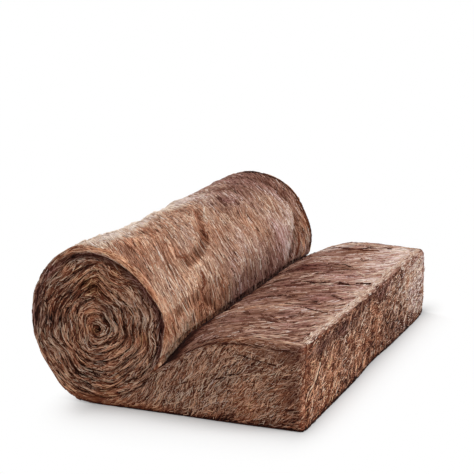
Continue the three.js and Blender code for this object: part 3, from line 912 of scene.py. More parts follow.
TONES = (                     # from the darkest gap to the palest loose fibre
    (0.0, (20, 7, 4)),
    (0.16, (58, 24, 14)),
    (0.36, (100, 59, 44)),
    (0.56, (142, 101, 82)),
    (0.76, (181, 142, 121)),
    (0.88, (206, 179, 159)),
    (1.0, (242, 230, 216)),
)
WOOL_ROUGHNESS, WOOL_GLOSS = 0.95, 0.15
FINE_SWING, BROAD_SWING = 1.7, 0.4      # how strongly the two grains show in the tone
CALMING = 0.6                           # share of them that calm wool loses
BUMP_STRENGTH, BUMP_DISTANCE = 0.9, 0.0025
CASTS = (                     # plum, ash, tan, rust and gold, as factors on a tone's colour
    (0.0, (0.93, 0.76, 0.93)),
    (0.25, (0.97, 0.99, 1.09)),
    (0.5, (1.0, 0.97, 0.9)),
    (0.7, (1.15, 0.85, 0.69)),
    (1.0, (1.12, 1.0, 0.69)),
)


def ramp_node(nodes, factor, stops):
    """A colour ramp with a colour, linear from 0 to 1, at each stop."""
    ramp = nodes.add("ShaderNodeValToRGB", {0: factor})
    elements = ramp.color_ramp.elements
    while len(elements) < len(stops):
        elements.new(0.5)
    for element, (place, colour) in zip(elements, stops):
        element.position = place
        element.color = (*colour, 1.0)
    return ramp.outputs[0]


def wool_colour_group():
    """Wool colour from a tone, dark to pale, and a hue, plum to gold."""
    group = bpy.data.node_groups.new("wool_colour", "ShaderNodeTree")
    for label, default in (("Tone", 0.5), ("Hue", 0.5)):
        group.interface.new_socket(
            label, in_out="INPUT", socket_type="NodeSocketFloat").default_value = default
    group.interface.new_socket("Color", in_out="OUTPUT", socket_type="NodeSocketColor")
    nodes = Tree(group)
    start, end = nodes.add("NodeGroupInput"), nodes.add("NodeGroupOutput")
    tones = [(place, linear(colour)) for place, colour in TONES]
    toned = ramp_node(nodes, start.outputs["Tone"], tones)
    cast = ramp_node(nodes, start.outputs["Hue"], CASTS)
    tinted = nodes.add("ShaderNodeMix", {"Factor": 1.0, "A": toned, "B": cast},
                       data_type="RGBA", blend_type="MULTIPLY")
    nodes.feed(end.inputs[0], tinted.outputs["Result"])
    return group


def plain_material(name, roughness, gloss):
    material = bpy.data.materials.new(name)
    material.use_nodes = True
    nodes = Tree(material.node_tree)
    shader = material.node_tree.nodes["Principled BSDF"]
    shader.inputs["Roughness"].default_value = roughness
    shader.inputs["Specular IOR Level"].default_value = gloss
    return material, nodes, shader


def wool_material(name, group, shades):
    """Matt wool whose tone, hue and bumps, where it has them, are what shades adds to its tree."""
    material, nodes, shader = plain_material(name, WOOL_ROUGHNESS, WOOL_GLOSS)
    tone, hue, *bumps = shades(nodes)
    colour = nodes.out("ShaderNodeGroup", {"Tone": tone, "Hue": hue}, node_tree=group)
    nodes.feed(shader.inputs["Base Color"], colour)
    for normal in bumps:
        nodes.feed(shader.inputs["Normal"], normal)
    return material


def packed_wool_shades(nodes):
    """The blanket's own face: fine streaks along the wool over the tones that the mesh holds."""
    laid = nodes.add("ShaderNodeAttribute", attribute_name="wool_laid").outputs["Vector"]
    shade = nodes.add("ShaderNodeSeparateXYZ", {
        0: nodes.add("ShaderNodeAttribute", attribute_name="wool_shade").outputs["Vector"]})
    fine = nodes.grain(laid, *FINE_GRAIN)
    broad = nodes.grain(laid, *BROAD_GRAIN)
    lively = nodes.math("SUBTRACT", 1.0, nodes.product(shade.outputs[2], CALMING))
    streaks = nodes.math("ADD", nodes.swing(fine, FINE_SWING), nodes.swing(broad, BROAD_SWING))
    tone = nodes.math("ADD", shade.outputs[0], nodes.product(streaks, lively), clamp=True)
    bumps = nodes.out("ShaderNodeBump", {
        "Strength": BUMP_STRENGTH, "Distance": BUMP_DISTANCE, "Height": fine})
    return tone, shade.outputs[1], bumps


def strand_shades(nodes):
    """Loose strands: one tone and hue each, read from the strand's own map."""
    swatch = nodes.add("ShaderNodeSeparateXYZ", {
        0: nodes.out("ShaderNodeUVMap", uv_map="OFBake")})
    return swatch.outputs[0], swatch.outputs[1]


# ---- Sizes and colours that a user would change


def length_setting(label, note, default, least=0.0):
    return bpy.props.FloatProperty(
        name=label, description=note, default=default, min=least, subtype="DISTANCE")


def light_setting(label, origin, default):
    return bpy.props.FloatProperty(
        name=label, description="Share of the light that comes from " + origin,
        default=default, min=0.0, subtype="FACTOR")


class WoolShape(bpy.types.PropertyGroup):
    """Relief of the blanket's skin."""

    rim_depth: length_setting(
        "Rim depth", "How deep the gap between two turns shows at the ends", 0.014)
    rim_radius: length_setting(
        "Rim radius", "Soft edge of each turn at the ends", 0.011, least=0.001)
    lump_depth: length_setting(
        "Lump depth", "Depth of the valleys between soft lumps", 0.013)
    lump_size: length_setting(
        "Lump size", "Width of a soft lump", 0.19, least=0.01)
    valley_depth: length_setting(
        "Valley depth", "Depth of the creases round the roll", 0.014)
    fold_depth: length_setting(
        "Fold depth", "Depth of the folds that run along the wool", 0.006)
    streak_depth: length_setting(
        "Streak depth", "Depth of the fine streaks", 0.0018)
    layer_depth: length_setting(
        "Layer depth", "How unevenly the layers end at the cut faces", 0.008)


class WoolStrands(bpy.types.PropertyGroup):
    """Loose strands on the blanket's faces."""

    density: bpy.props.FloatProperty(
        name="Density", description="Share of the full number of strands",
        default=1.0, min=0.0, max=1.0, subtype="FACTOR")
    width: length_setting(
        "Width", "Thickness of a middling strand", 0.0022, least=0.0005)
    seed: bpy.props.IntProperty(
        name="Seed", description="Changes where every strand lies", default=7, min=0)


class StudioSettings(bpy.types.PropertyGroup):
    """Floor, lamps and camera."""

    shadow_reach: length_setting(
        "Shadow reach", "How far from the roll its shadow shows on the floor", 0.3, least=0.01)
    floor_colour: bpy.props.FloatVectorProperty(
        name="Floor", description="Colour of the floor and backdrop",
        default=(0.93, 0.93, 0.93), min=0.0, max=1.0, subtype="COLOR")
    key_strength: light_setting("Key", "the overhead softbox", 0.88)
    front_strength: light_setting("Front", "the front softbox", 0.12)
    back_strength: light_setting("Back", "behind on the left", 0.45)
    fill_strength: light_setting("Fill", "all round", 0.42)


# ---- The skin

# For each kind of face: softness, folding, layering, then the tone and hue of its wool. The tones
# differ partly as the wool's own colour and partly as painted shade of faces that get less light;
# the eyes' dark tone is painted shade in the pit.
FACE_TRAITS = {
    "roll": (1.0, 0.6, 0.0, 0.71, 0.5),
    "top": (0.5, 0.8, 0.0, 0.55, 0.3),
    "underside": (0.0, 0.0, 0.0, 0.5, 0.5),
    "cut": (0.4, 0.5, 0.0, 0.43, 0.48),
    "near_slab_side": (0.3, 0.0, 0.6, 0.42, 0.52),
    "far_slab_side": (0.3, 0.0, 0.6, 0.4, 0.46),
    "near_turns": (0.3, 0.0, 0.8, 0.41, 0.56),
    "far_turns": (0.3, 0.0, 0.8, 0.41, 0.56),
    "near_eye": (0.0, 0.0, 0.0, 0.3, 0.5),
    "far_eye": (0.0, 0.0, 0.0, 0.3, 0.5),
}

# How each face's own features change the tone and hue of its wool and how calm it is; much of
# it is painted shade in nips, creases, gaps and under edges, and painted highlight. A span is
# where something starts and the way over which it grows, which may run backwards; a band is its
# middle and its width. Angles are winding angles in degrees.
# Floor and floor reach paint contact shade: every face darker towards the floor.
EVERY_LOOK = SimpleNamespace(
    patch=0.3, patch_hue=0.8, roll_patch_hue=0.5, near_part=(-0.28, -0.15),
    floor=0.6, floor_shade_reach=0.006, limits=(0.02, 0.97), lump_middle=0.6)
PATCH_CALM = 0.1            # how much calmer the wool of most patches is
# The roll's fold, lump, valley, nip and beside-nip values paint shade; its near glow is painted
# light.
ROLL_LOOK = SimpleNamespace(
    fold=0.16, lump=0.06, valley=0.17, valley_hue=0.66, valley_calm=0.6,
    nip=0.75, nip_width=0.005, nip_calm=0.6,
    shade_by_nip=0.1, shade_by_far_nip=0.14, by_nip_reach=0.05, near_nip_light=0.2, near_nip_light_reach=0.025,
    nip_hue=0.12, nip_hue_loss=0.42, nip_hue_loss_span=(-0.25, 0.2), nip_hue_reach=0.08,
    far_part=(-0.1, 0.4), far=0.05, far_hue=0.1,
    near_rim_hue=0.12, near_rim_width=0.03)
RIDGE_HIGHLIGHT_LOOK = SimpleNamespace(       # a painted highlight, the pale ridge along the roll's top
    start=126, start_sway=6, start_waves=19, way=26,
    limit=187, limit_drop=9, limit_drop_span=(-0.35, 0.2), limit_sway=3, limit_waves=31,
    limit_way=-12, least=0.55, by_patch=0.9, end=(0.1, 0.16), tone=0.22, hue=0.38, calm=0.5)
BRIM_LOOK = SimpleNamespace(        # the dark brim of the far end and the wool that leads to it
    tone=0.28, width=0.007, wider=0.01, wider_span=(190, 40), stretch=(155, 20),
    lead=0.22, lead_start=0.36, lead_shift=0.05, lead_shift_span=(205, 20), lead_way=0.14,
    lead_end=(268, -30), lead_hue=0.12, lead_hue_span=(0.36, 0.1), lead_hue_end=(250, -30),
    hue=0.3, hue_span=(225, 15))
# The upper face's fold, lump, valley, nip and beside-nip values paint shade.
TOP_LOOK = SimpleNamespace(
    fold=0.45, lump=0.1, valley=0.3, nip=0.6, nip_calm=0.8,
    nip_width=0.035, nip_wider=0.02, far_nip=(0.15, 0.2), shade_by_nip=0.1, by_nip_reach=0.06,
    near=0.08, near_span=(-0.25, -0.15), far_part=(-0.15, 0.25),
    crest_width=0.025, crest_wider=0.025, crest=0.16, far_crest=0.08,
    far=0.02, far_span=(0.2, 0.3), farthest=0.16, farthest_span=(0.43, 0.06),
    far_hue=0.27, far_hue_span=(0.05, 0.3),
    scallops=((0.007, 47, 0), (0.005, 83, 1)), turned_way=0.006, turned=0.42, turned_hue=0.3)
# On the cut the brink paints the shadow under the upper edge and the foot paints shade by the floor.
CUT_LOOK = SimpleNamespace(
    layer=0.4, brink=0.2, brink_band=(0.176, 0.018), brink_wander=0.06, brink_share=0.9,
    brink_fold=2.5, brink_loss=0.9, brink_loss_way=0.5, brink_hue=0.4, brink_calm=0.4,
    far_hue=0.35, darker=0.12, far=0.3, far_span=(0.18, 0.26), rise=0.03, rise_drop=0.04,
    rise_drop_span=(0.3, 0.1), rise_way=0.08,
    foot=0.08, foot_height=(0.05, -0.04), foot_span=(0.1, -0.2), near=0.06,
    near_band=(-0.3, 0.15), middle=0.1, middle_start=(-0.15, 0.2), middle_end=(0.34, -0.1),
    middle_height=(0.12, -0.08), near_hue=0.08, near_hue_span=(-0.1, 0.4),
    strip=0.08, strip_width=0.035, strip_height=(0.06, 0.04), strip_calm=0.9)
# On the ends the gap, valley and band values paint shade; the lit values paint light on one side.
TURNS_LOOK = SimpleNamespace(
    layer=0.9, valley=0.08, valley_hue=0.4, valley_calm=0.6,
    gap=0.26, gap_depth=0.014, gap_limit=(1.2, 0.2), gap_sharpness=1.5, gap_loss=0.7,
    lit_span=(165, 30), lip=0.14, lit_lip=0.16, band=0.2, lit_band=0.07,
    lip_hue=0.08, lit_lip_hue=0.12, band_hue=0.4, band_calm=0.8, lip_calm=0.4,
    foot=0.06, foot_hue=0.2, foot_calm=0.6, foot_height=(0.045, -0.03), foot_share=(0.84, 0.06),
    patch_calm=0.35)
# On the sides the edge and under values paint shade below the upper edge.
SIDE_LOOK = SimpleNamespace(
    layer=0.22, slope=(0.25, 0.15), edge=0.14, edge_width=0.005,
    under=0.08, under_band=(0.028, 0.016), sheet=0.02, sheet_edge=0.006, sheet_hue=0.08,
    sheet_calm=0.65, smooth=0.16, smooth_calm=0.7, smooth_x=(0.51, 0.035),
    smooth_z=(0.085, 0.05), foot=0.1, foot_hue=0.2, foot_calm=0.6, foot_height=(0.03, -0.02),
    foot_span=(0.28, -0.12), corner=0.06, corner_hue=0.12, corner_width=0.008)


def floor_freedom(z):
    """No movement where the blanket bears on the floor."""
    return ramp(z, HELD_HEIGHT, FLOOR_REACH)


def set_vectors(mesh, name, values, domain="POINT"):
    mesh.attributes.new(name, "FLOAT_VECTOR", domain).data.foreach_set(
        "vector", np.ascontiguousarray(values, np.float32).ravel())


def set_floats(mesh, name, values):
    mesh.attributes.new(name, "FLOAT", "POINT").data.foreach_set(
        "value", np.ascontiguousarray(values, np.float32))


def read_floats(mesh, name):
    values = np.empty(len(mesh.vertices), np.float32)
    mesh.attributes[name].data.foreach_get("value", values)
    return values


def per_vertex(grids, count, column):
    """A face trait for each merged vertex; where kinds of face meet, the smaller holds."""
    values = np.full(count, np.inf)
    for grid in grids:
        np.minimum.at(values, grid.ids.ravel(), FACE_TRAITS[grid.name][column])
    return values


def distance_to_line(places, line):
    """Distance from flat places to a line of straight stretches."""
    best = np.full(places.shape[:-1], np.inf)
    for a, b in zip(line[:-1], line[1:]):
        share = np.clip(((places - a) @ (b - a)) / ((b - a) @ (b - a)), 0, 1)
        best = np.minimum(best, norm(places - (a + share[..., None] * (b - a)), axis=-1))
    return best


def patched(at, across, along, patches, calmer=PATCH_CALM, per=MILLI, unit=1.0):
    """Adds each patch's own tone and hue where it lies; its first number is per so many units."""
    for first, second, reach, paler, warmer in patches:
        gap = np.hypot(across - first / per * unit, along - second / MILLI)
        share = np.exp(-gap ** 2 / (reach / MILLI) ** 2)
        at.tone += paler / HUNDRED * share
        at.hue += warmer / HUNDRED * share
        at.calm += calmer * share


def shade_roll(at):
    """The roll's outside: painted shade in the nip, the valleys and the hollows of folds and lumps,
    paler in between, with a painted highlight along its top.
    """
    look, y, from_nip = ROLL_LOOK, at.y, at.from_nip
    nip_shade = bump(from_nip, look.nip_width)
    # Painted shade: paler on raised folds and lumps, darker in their hollows, the valleys and the
    # nip.
    at.tone += (look.fold * (at.fold - 0.5) + look.lump * (at.lump - EVERY_LOOK.lump_middle)
                - look.valley * at.valley - look.nip * nip_shade)
    farther = ramp(y, *look.far_part)
    # Painted shade beside the nip, deepest towards the far end; painted light lifts it near the near
    # end.
    shade_by_nip = look.shade_by_nip * (1 - at.near_nip) + look.shade_by_far_nip * farther
    at.tone -= shade_by_nip * np.exp(-from_nip / look.by_nip_reach)
    at.tone += look.near_nip_light * at.near_nip * np.exp(-from_nip / look.near_nip_light_reach)
    at.hue += (look.valley_hue - at.hue) * at.valley
    nip_hue = look.nip_hue - look.nip_hue_loss * ramp(y, *look.nip_hue_loss_span)
    at.hue += nip_hue * np.exp(-from_nip / look.nip_hue_reach)
    paint_ridge_highlight(at, RIDGE_HIGHLIGHT_LOOK)
    shade_brim(at, BRIM_LOOK)
    at.hue += look.near_rim_hue * bump(y - LOW[1], look.near_rim_width)
    at.tone += look.far * farther
    at.hue -= look.far_hue * farther
    at.calm += look.valley_calm * at.valley + look.nip_calm * nip_shade
    patched(at, at.around * MEAN_RADIUS, y, ROLL_PATCHES, per=1, unit=math.radians(MEAN_RADIUS))


def paint_ridge_highlight(at, look):
    """A painted highlight: a pale ridge along the roll's top, with wavy borders."""
    y, angle = at.y, np.degrees(at.around)
    limit = (look.limit - look.limit_drop * ramp(y, *look.limit_drop_span)
             + look.limit_sway * np.sin(look.limit_waves * y + 1))
    ridge = smoothstep((angle - look.start - look.start_sway * np.sin(look.start_waves * y))
                       / look.way)
    ridge = (ridge * ramp(angle, limit, look.limit_way)
             * np.clip(look.least + look.by_patch * at.patch, 0, 1))
    ridge = ridge * (1 - ramp(y, *look.end))
    at.tone += look.tone * ridge
    at.hue += (look.hue - at.hue) * ridge
    at.calm += look.calm * ridge


def shade_brim(at, look):
    """The far end's dark brim and the darker wool that leads to it."""
    y, angle = at.y, np.degrees(at.around)
    width = look.width + look.wider * ramp(angle, *look.wider_span)
    brim = bump(HIGH[1] - y, width) * ramp(angle, *look.stretch)
    shift = look.lead_shift * ramp(angle, *look.lead_shift_span)
    lead = smoothstep((y - look.lead_start - shift) / look.lead_way)
    lead = lead * ramp(angle, *look.lead_end)
    at.tone -= look.tone * brim + look.lead * lead
    at.hue -= (look.lead_hue * ramp(y, *look.lead_hue_span)
               * ramp(angle, *look.lead_hue_end))
    at.hue += look.hue * brim * ramp(angle, *look.hue_span)


def shade_top(at):
    """The free blanket's upper face: painted shade under the roll and in its cracks and folds,
    pale on the crest before the cut.
    """
    look, x, y = TOP_LOOK, at.x, at.y
    width = look.nip_width + look.nip_wider * at.near_nip - look.nip_wider * ramp(y, *look.far_nip)
    nip_shade = np.exp(-(at.from_nip / width) ** 4)
    # Painted shade: paler on raised folds and lumps, darker in the cracks and the wedge by the nip.
    at.tone += (look.fold * (at.fold - 0.5) + look.lump * (at.lump - EVERY_LOOK.lump_middle)
                - look.valley * at.valley - look.nip * nip_shade)
    # More painted shade beside the nip, and darker towards the near end.
    at.tone -= (look.shade_by_nip * np.exp(-at.from_nip / look.by_nip_reach)
                + look.near * ramp(y, *look.near_span))
    at.calm += look.nip_calm * nip_shade
    farther = ramp(y, *look.far_part)
    width = look.crest_width + look.crest_wider * farther
    crest = bump(x - FREE_LENGTH + width, width)
    at.tone += ((look.crest + look.far_crest * farther) * crest
                + look.far * ramp(y, *look.far_span))
    at.tone += look.farthest * ramp(y, *look.farthest_span)
    at.hue += (look.far_hue - at.hue) * ramp(y, *look.far_hue_span)
    patched(at, x, y, TOP_PATCHES)
    scallop = sum(size * np.sin(y * waves + phase) for size, waves, phase in look.scallops)
    turned = smoothstep((x - FREE_LENGTH + look.turned_way + scallop) / look.turned_way)
    at.tone += (look.turned - at.tone) * turned
    at.hue += (look.turned_hue - at.hue) * turned


def shade_cut(at):
    """The square cut: a painted shadow under the upper edge, painted shade near the floor,
    paler at the far end.
    """
    look, y, z = CUT_LOOK, at.y, at.z
    at.tone += look.layer * (at.layer - 0.5)
    height, width = look.brink_band
    # Painted shadow under the upper edge.
    brink = bump(z - height - look.brink_wander * (at.patch - 0.5), width)
    brink = brink * smoothstep(look.brink_share + look.brink_fold * (at.fold - 0.5)
                               - look.brink_loss * smoothstep(y / look.brink_loss_way))
    at.tone -= look.brink * brink
    at.hue -= look.brink_hue * brink + look.far_hue * y
    rise = look.rise - look.rise_drop * ramp(y, *look.rise_drop_span)
    at.tone += (look.far * ramp(y, *look.far_span) * ramp(z, rise, look.rise_way)
                - look.darker)
    # Painted shade: darker near the floor along the nearer part.
    at.tone -= look.foot * ramp(z, *look.foot_height) * ramp(y, *look.foot_span)
    middle, width = look.near_band
    at.tone += look.near * bump(y - middle, width)
    between = ramp(y, *look.middle_start) * ramp(y, *look.middle_end)
    at.tone -= look.middle * between * ramp(z, *look.middle_height)
    at.hue += look.near_hue * (1 - ramp(y, *look.near_hue_span))
    strip = bump(y - LOW[1], look.strip_width) * ramp(z, *look.strip_height)
    at.calm += look.strip_calm * strip
    at.tone += look.strip * strip
    at.calm += look.brink_calm * brink
    patched(at, y, z, CUT_PATCHES)


def shade_turns(at):
    """The wound turns on an end: painted shade in the gaps and the hollow, and a turn that sits
    back, painted darker as shade, under a pale lip that is paler on the lit side.
    """
    look, x, z = TURNS_LOOK, at.x, at.z
    sunk = (HIGH[1] - np.abs(at.even_y)) / look.gap_depth
    sunk = np.clip(sunk, 0, 1) * (1 - ramp(sunk, *look.gap_limit))
    share = np.hypot(x, z - MEAN_RADIUS) / MEAN_RADIUS
    band, lip = end_band(np.degrees(at.around), share)
    sunk *= 1 - look.gap_loss * lip
    # Painted shade in the gaps between turns and in the hollow.
    at.tone += (look.layer * (at.layer - 0.5) - look.valley * at.valley
                - look.gap * sunk ** look.gap_sharpness)
    foot = ramp(z, *look.foot_height) * ramp(share, *look.foot_share)
    lit = ramp(np.degrees(at.around), *look.lit_span)
    # Painted shade in the turn that sits back; painted light makes lip and band paler on the lit
    # side.
    at.tone += ((look.lip + look.lit_lip * lit) * lip - (look.band - look.lit_band * lit) * band
                + look.foot * foot)
    at.hue += ((look.lip_hue + look.lit_lip_hue * lit) * lip - look.band_hue * band
               + look.valley_hue * at.valley + look.foot_hue * foot)
    at.calm += (look.band_calm * band + look.lip_calm * lip + look.valley_calm * at.valley
                + look.foot_calm * foot)
    if at.name == "near_turns":
        patched(at, x, z - MEAN_RADIUS, NEAR_END_PATCHES, look.patch_calm)


def shade_side(at):
    """The free blanket's sides: painted shade just under the upper edge, a smooth layer under that
    edge, matted wool below it.
    """
    look, x, z = SIDE_LOOK, at.x, at.z
    below = z[:, -1:] - z
    slope = ramp(x, *look.slope)
    # Painted shade: a thin dark line at the upper edge and a darker band below it, less towards the
    # cut.
    at.tone += (look.layer * (at.layer - 0.5)
                - look.edge * (1 - slope) * bump(below, look.edge_width))
    middle, width = look.under_band
    at.tone -= (look.under - look.under * slope) * bump(below - middle, width)
    sheet = np.interp(x, *np.transpose(SMOOTH_LAYER))
    layered = smoothstep((sheet - below) / look.sheet_edge + 0.5)
    (middle_x, width), (middle_z, height) = look.smooth_x, look.smooth_z
    smooth = np.exp(-((x - middle_x) / width) ** 2 - ((z - middle_z) / height) ** 2)
    foot = ramp(z, *look.foot_height) * ramp(x, *look.foot_span)
    at.tone += look.foot * foot - look.smooth * smooth - look.sheet * layered
    at.hue += look.foot_hue * foot - look.sheet_hue * layered
    at.calm += look.sheet_calm * layered + look.smooth_calm * smooth + look.foot_calm * foot
    corner = bump(x - FREE_LENGTH, look.corner_width)
    at.tone += look.corner * corner
    at.hue += look.corner_hue * corner
    patched(at, x, z, SIDE_PATCHES)


SHADERS = {"roll": shade_roll, "top": shade_top, "cut": shade_cut, "near_turns": shade_turns,
           "far_turns": shade_turns}      # every other face is shaded as a side


def valley_shares(points):
    """How deep in a valley each point is: creases round the roll and hollows in its ends."""
    x, z = points[:, 0] - AXIS_X, points[:, 2] - MEAN_RADIUS
    radius = np.hypot(x, z)
    around = np.arctan2(-x, -z) % (2 * math.pi) * MEAN_RADIUS
    on_roll = ramp(radius, *ON_ROLL[0]) * ramp(radius, *ON_ROLL[1])
    places = np.stack([around, points[:, 1]], -1)
    shares = np.zeros(len(points))
    least, reach = VALLEY_END
    for line, half_width, depth in VALLEYS:
        line = np.array(line) / [1, MILLI] * [math.radians(1) * MEAN_RADIUS, 1]
        gap = distance_to_line(places, line)
        from_end = np.minimum(*(norm(places - end, axis=1) for end in line[[0, -1]]))
        depth = depth * (least + (1 - least) * smoothstep(from_end / reach))
        shares = np.maximum(shares, depth * on_roll * bump(gap, half_width))
    gap = nip_distance(x, points[:, 1], points[:, 2])
    shares = np.maximum(shares, NIP_VALLEY * bump(gap, NIP_VALLEY_WIDTH))
    on_top = (x > CRACKED_PART[0]) & (points[:, 2] > CRACKED_PART[1])
    wander = sum(size * np.sin(x * waves) for size, waves in CRACK_WANDER)
    for line, half_width, depth in TOP_CRACKS:
        gap = distance_to_line(np.stack([x, points[:, 1] + wander], -1), np.array(line) / MILLI)
        shares = np.maximum(shares, depth * on_top * bump(gap, half_width))
    hollow_x, hollow_z, half_width, half_height = HOLLOW
    hollow = np.exp(-((x - hollow_x) / half_width) ** 2 - ((z - hollow_z) / half_height) ** 2)
    at_end = np.abs(points[:, 1]) > BLANKET_WIDTH / 2 - HOLLOW_FROM_END
    return np.maximum(shares, hollow * at_end * (radius < HOLLOW_LIMIT * MEAN_RADIUS))


def add_map(mesh, name, values):
    mesh.uv_layers.new(name=name).uv.foreach_set(
        "vector", np.ascontiguousarray(values, np.float32).ravel())


class Skin:
    """The finished skin's grids with their displaced points, normals, tones and hues."""

    def __init__(self, grids, mesh):
        self.grids = {grid.name: grid for grid in grids}
        self.points = np.empty((len(mesh.vertices), 3), np.float32)
        mesh.vertices.foreach_get("co", self.points.ravel())
        self.normals = np.empty((len(mesh.vertices), 3), np.float32)
        mesh.vertex_normals.foreach_get("vector", self.normals.ravel())
        self.fields = {name: read_floats(mesh, name)
                       for name in ("lump", "fold", "layer", "patch", "valley")}

    def shade(self, grid):
        """Tone, dark to pale, hue, plum to gold, and how calm the wool is at a grid's points."""
        look, place = EVERY_LOOK, self.points[grid.ids]
        at = SimpleNamespace(name=grid.name, x=place[..., 0] - AXIS_X, y=place[..., 1],
                             z=place[..., 2], even_y=grid.points[..., 1],
                             **{name: field[grid.ids] for name, field in self.fields.items()})
        at.tone, at.hue = (np.full(at.x.shape, value) for value in FACE_TRAITS[grid.name][3:])
        at.calm = np.zeros(at.x.shape)
        at.tone += look.patch * (at.patch - 0.5)
        patch_hue = look.roll_patch_hue if grid.name == "roll" else look.patch_hue
        at.hue += patch_hue * (at.patch - 0.5)
        at.from_nip = nip_distance(at.x, at.y, at.z)
        at.near_nip = ramp(at.y, *look.near_part)
        at.around = np.arctan2(-at.x, MEAN_RADIUS - at.z) % (2 * math.pi)
        SHADERS.get(grid.name, shade_side)(at)
        # Painted contact shade: every face darker towards the floor.
        at.tone -= look.floor * np.exp(-at.z / look.floor_shade_reach)
        return (np.clip(at.tone, *look.limits), np.clip(at.hue, *look.limits),
                np.clip(at.calm, 0.0, 1.0))


def make_skin(shape):
    """The blanket's whole skin as one closed mesh, and what the strands need to lie on it."""
    grids = skin_grids(shape.rim_depth, shape.rim_radius)
    points, flows, faces, corners = merge_grids(grids)
    points = loosened(points)
    mesh = bpy.data.meshes.new("skin_before_relief")
    mesh.from_pydata(points, [], faces)
    set_vectors(mesh, "flow", flows)
    from_nip = nip_distance(points[:, 0] - AXIS_X, points[:, 1], points[:, 2])
    held = 1 - NIP_HOLD * bump(from_nip, NIP_HOLD_WIDTH)
    for name, column in (("softness", 0), ("folding", 1), ("layering", 2)):
        set_floats(mesh, name, per_vertex(grids, len(points), column) * held)
    set_floats(mesh, "freedom", floor_freedom(points[:, 2]))
    set_floats(mesh, "valley", valley_shares(points))
    sizes = {name.replace("_", " ").capitalize(): getattr(shape, name) for name in RELIEF_SIZES}
    mesh = modified_mesh(mesh, relief_tree(sizes), sizes, "mineral_wool_skin")
    skin = Skin(grids, mesh)
    laid = np.concatenate([grid.flow.reshape(-1, 3) for grid in grids])
    shade = np.concatenate([np.stack(skin.shade(grid), -1).reshape(-1, 3) for grid in grids])
    sheet = np.concatenate([sheet_places(grid).reshape(-1, 2) for grid in grids])
    order = np.concatenate([np.asarray(face) for face in corners])
    set_vectors(mesh, "wool_laid", laid[order], "CORNER")
    set_vectors(mesh, "wool_shade", shade[order], "CORNER")
    add_map(mesh, "OFBake", sheet[order])
    mesh.polygons.foreach_set("use_smooth", np.ones(len(mesh.polygons), bool))
    for name in ("flow", "softness", "folding", "layering", "freedom", "lump", "fold", "layer",
                 "patch", "valley"):
        mesh.attributes.remove(mesh.attributes[name])
    return mesh, skin


# The skin's map: the long faces side by side below, with their widths, and both ends above them.
MAP_WIDTHS = {"underside": 0.2, "cut": 0.13, "top": 0.22, "roll": 0.43}
MAP_FACE_LENGTH, MAP_END_SIZE, MAP_GAP = 0.7, 0.49, 0.004
MAP_EYE_SHARE = 0.1               # of the eye's rim, to which its walls shrink on the map


def sheet_places(grid):
    """Where a grid's points lie on the skin's map, which no two faces share."""
    along, across = grid.points.shape[:2]
    if grid.name in MAP_WIDTHS:
        i, j = np.meshgrid(np.linspace(0, 1, along), np.linspace(0, 1, across), indexing="ij")
        before = list(MAP_WIDTHS).index(grid.name)
        left = sum(list(MAP_WIDTHS.values())[:before]) + MAP_GAP
        width = MAP_WIDTHS[grid.name] - 2 * MAP_GAP
        return np.stack([left + i * width, MAP_GAP + j * (MAP_FACE_LENGTH - 2 * MAP_GAP)], -1)
    x, z = grid.points[..., 0], grid.points[..., 2]
    if grid.name.endswith("eye"):
        centre = grid.points[-1, 0]
        shrink = np.linspace(1, MAP_EYE_SHARE, along)[:, None]
        x = centre[0] + (x[:1] - centre[0]) * shrink
        z = centre[2] + (z[:1] - centre[2]) * shrink
    left = 0.5 if grid.name.startswith("far") else 0.0
    x, z = ((values - low) / (HIGH[0] - LOW[0]) for values, low in ((x, LOW[0]), (z, LOW[2])))
    size = MAP_END_SIZE - MAP_GAP
    return np.stack([left + MAP_GAP + x * size, MAP_FACE_LENGTH + MAP_GAP + z * size], -1)


# ---- Loose strands

TINY = 1e-6
JUST_ONE = 1.001                  # taken off a grid's size, it keeps a place in the last cell
LEAST_CELL = 5e-4
SETTLED_SPAN = (0.7, 0.2)      # share of a side's height over which its strands lie level
OUTER_SPREAD, OUTER_SPREAD_WAY = 0.3, 0.12        # of the strands on the outermost turn
EYE_SPREAD, EYE_SPREAD_SPAN = 0.9, (0.78, 0.15)
BURIED = 0.3                      # share of the lift by which the lowest strands lie too deep
FLICK = (0.001, 0.0035)           # lift of a loose strand's end
GIRTHS, TIP_GIRTH = (0.6, 1.4), 0.45
CLEARANCE = 0.0002                # between a strand and the floor
# Painted light and shade: top strands paler, buried ones darker.
TOP_STRAND_LIGHT = 0.3                   # how much paler a top strand is than a buried one
CALMED = 0.75                     # share of its contrast that a strand loses in calm wool
HUE_SPREAD, LEAST_SHADE, MOST_HUE = 0.1, 0.02, 0.965

# Strands along a single line.
TRACE_VALUES = 5                  # that come before its lines
TRACE_FINENESS = 40               # points worked out per given place
TRACE_LENGTHS, TRACE_BEFORE, TRACE_SHORT_OF_END, TRACE_LEAST = (0.012, 0.03), 0.006, 0.01, 0.001
TRACE_WAVER, TRACE_LIFTS, TRACE_MORE_LIFT = 0.0006, (0.0008, 0.0016, 0.0008), 0.0008
TRACE_GIRTHS, TRACE_TAPER = (0.7, 1.3), (0.4, 1, 0.4)
TRACE_TONE_SWING, TRACE_HUE_SWING, TRACE_LIMITS = 0.06, 0.05, (0.02, 0.95)

# The dark lines in the nip, strands that paint its shade: tone, hue, thickness, spread and
# strands per metre, then where.
NIP_SHADE_ON_ROLL = (0.04, 0.35, 1.9, 0.0006, 380)
NIP_SHADE_ON_TOP = (0.03, 0.35, 1.8, 0.004, 300)
NIP_POINTS, NIP_INSET, NIP_LINE_SHIFT = 60, 0.006, 0.006
NIP_LINE_PAST, NIP_LINE_CLIMB = 0.075, 0.114


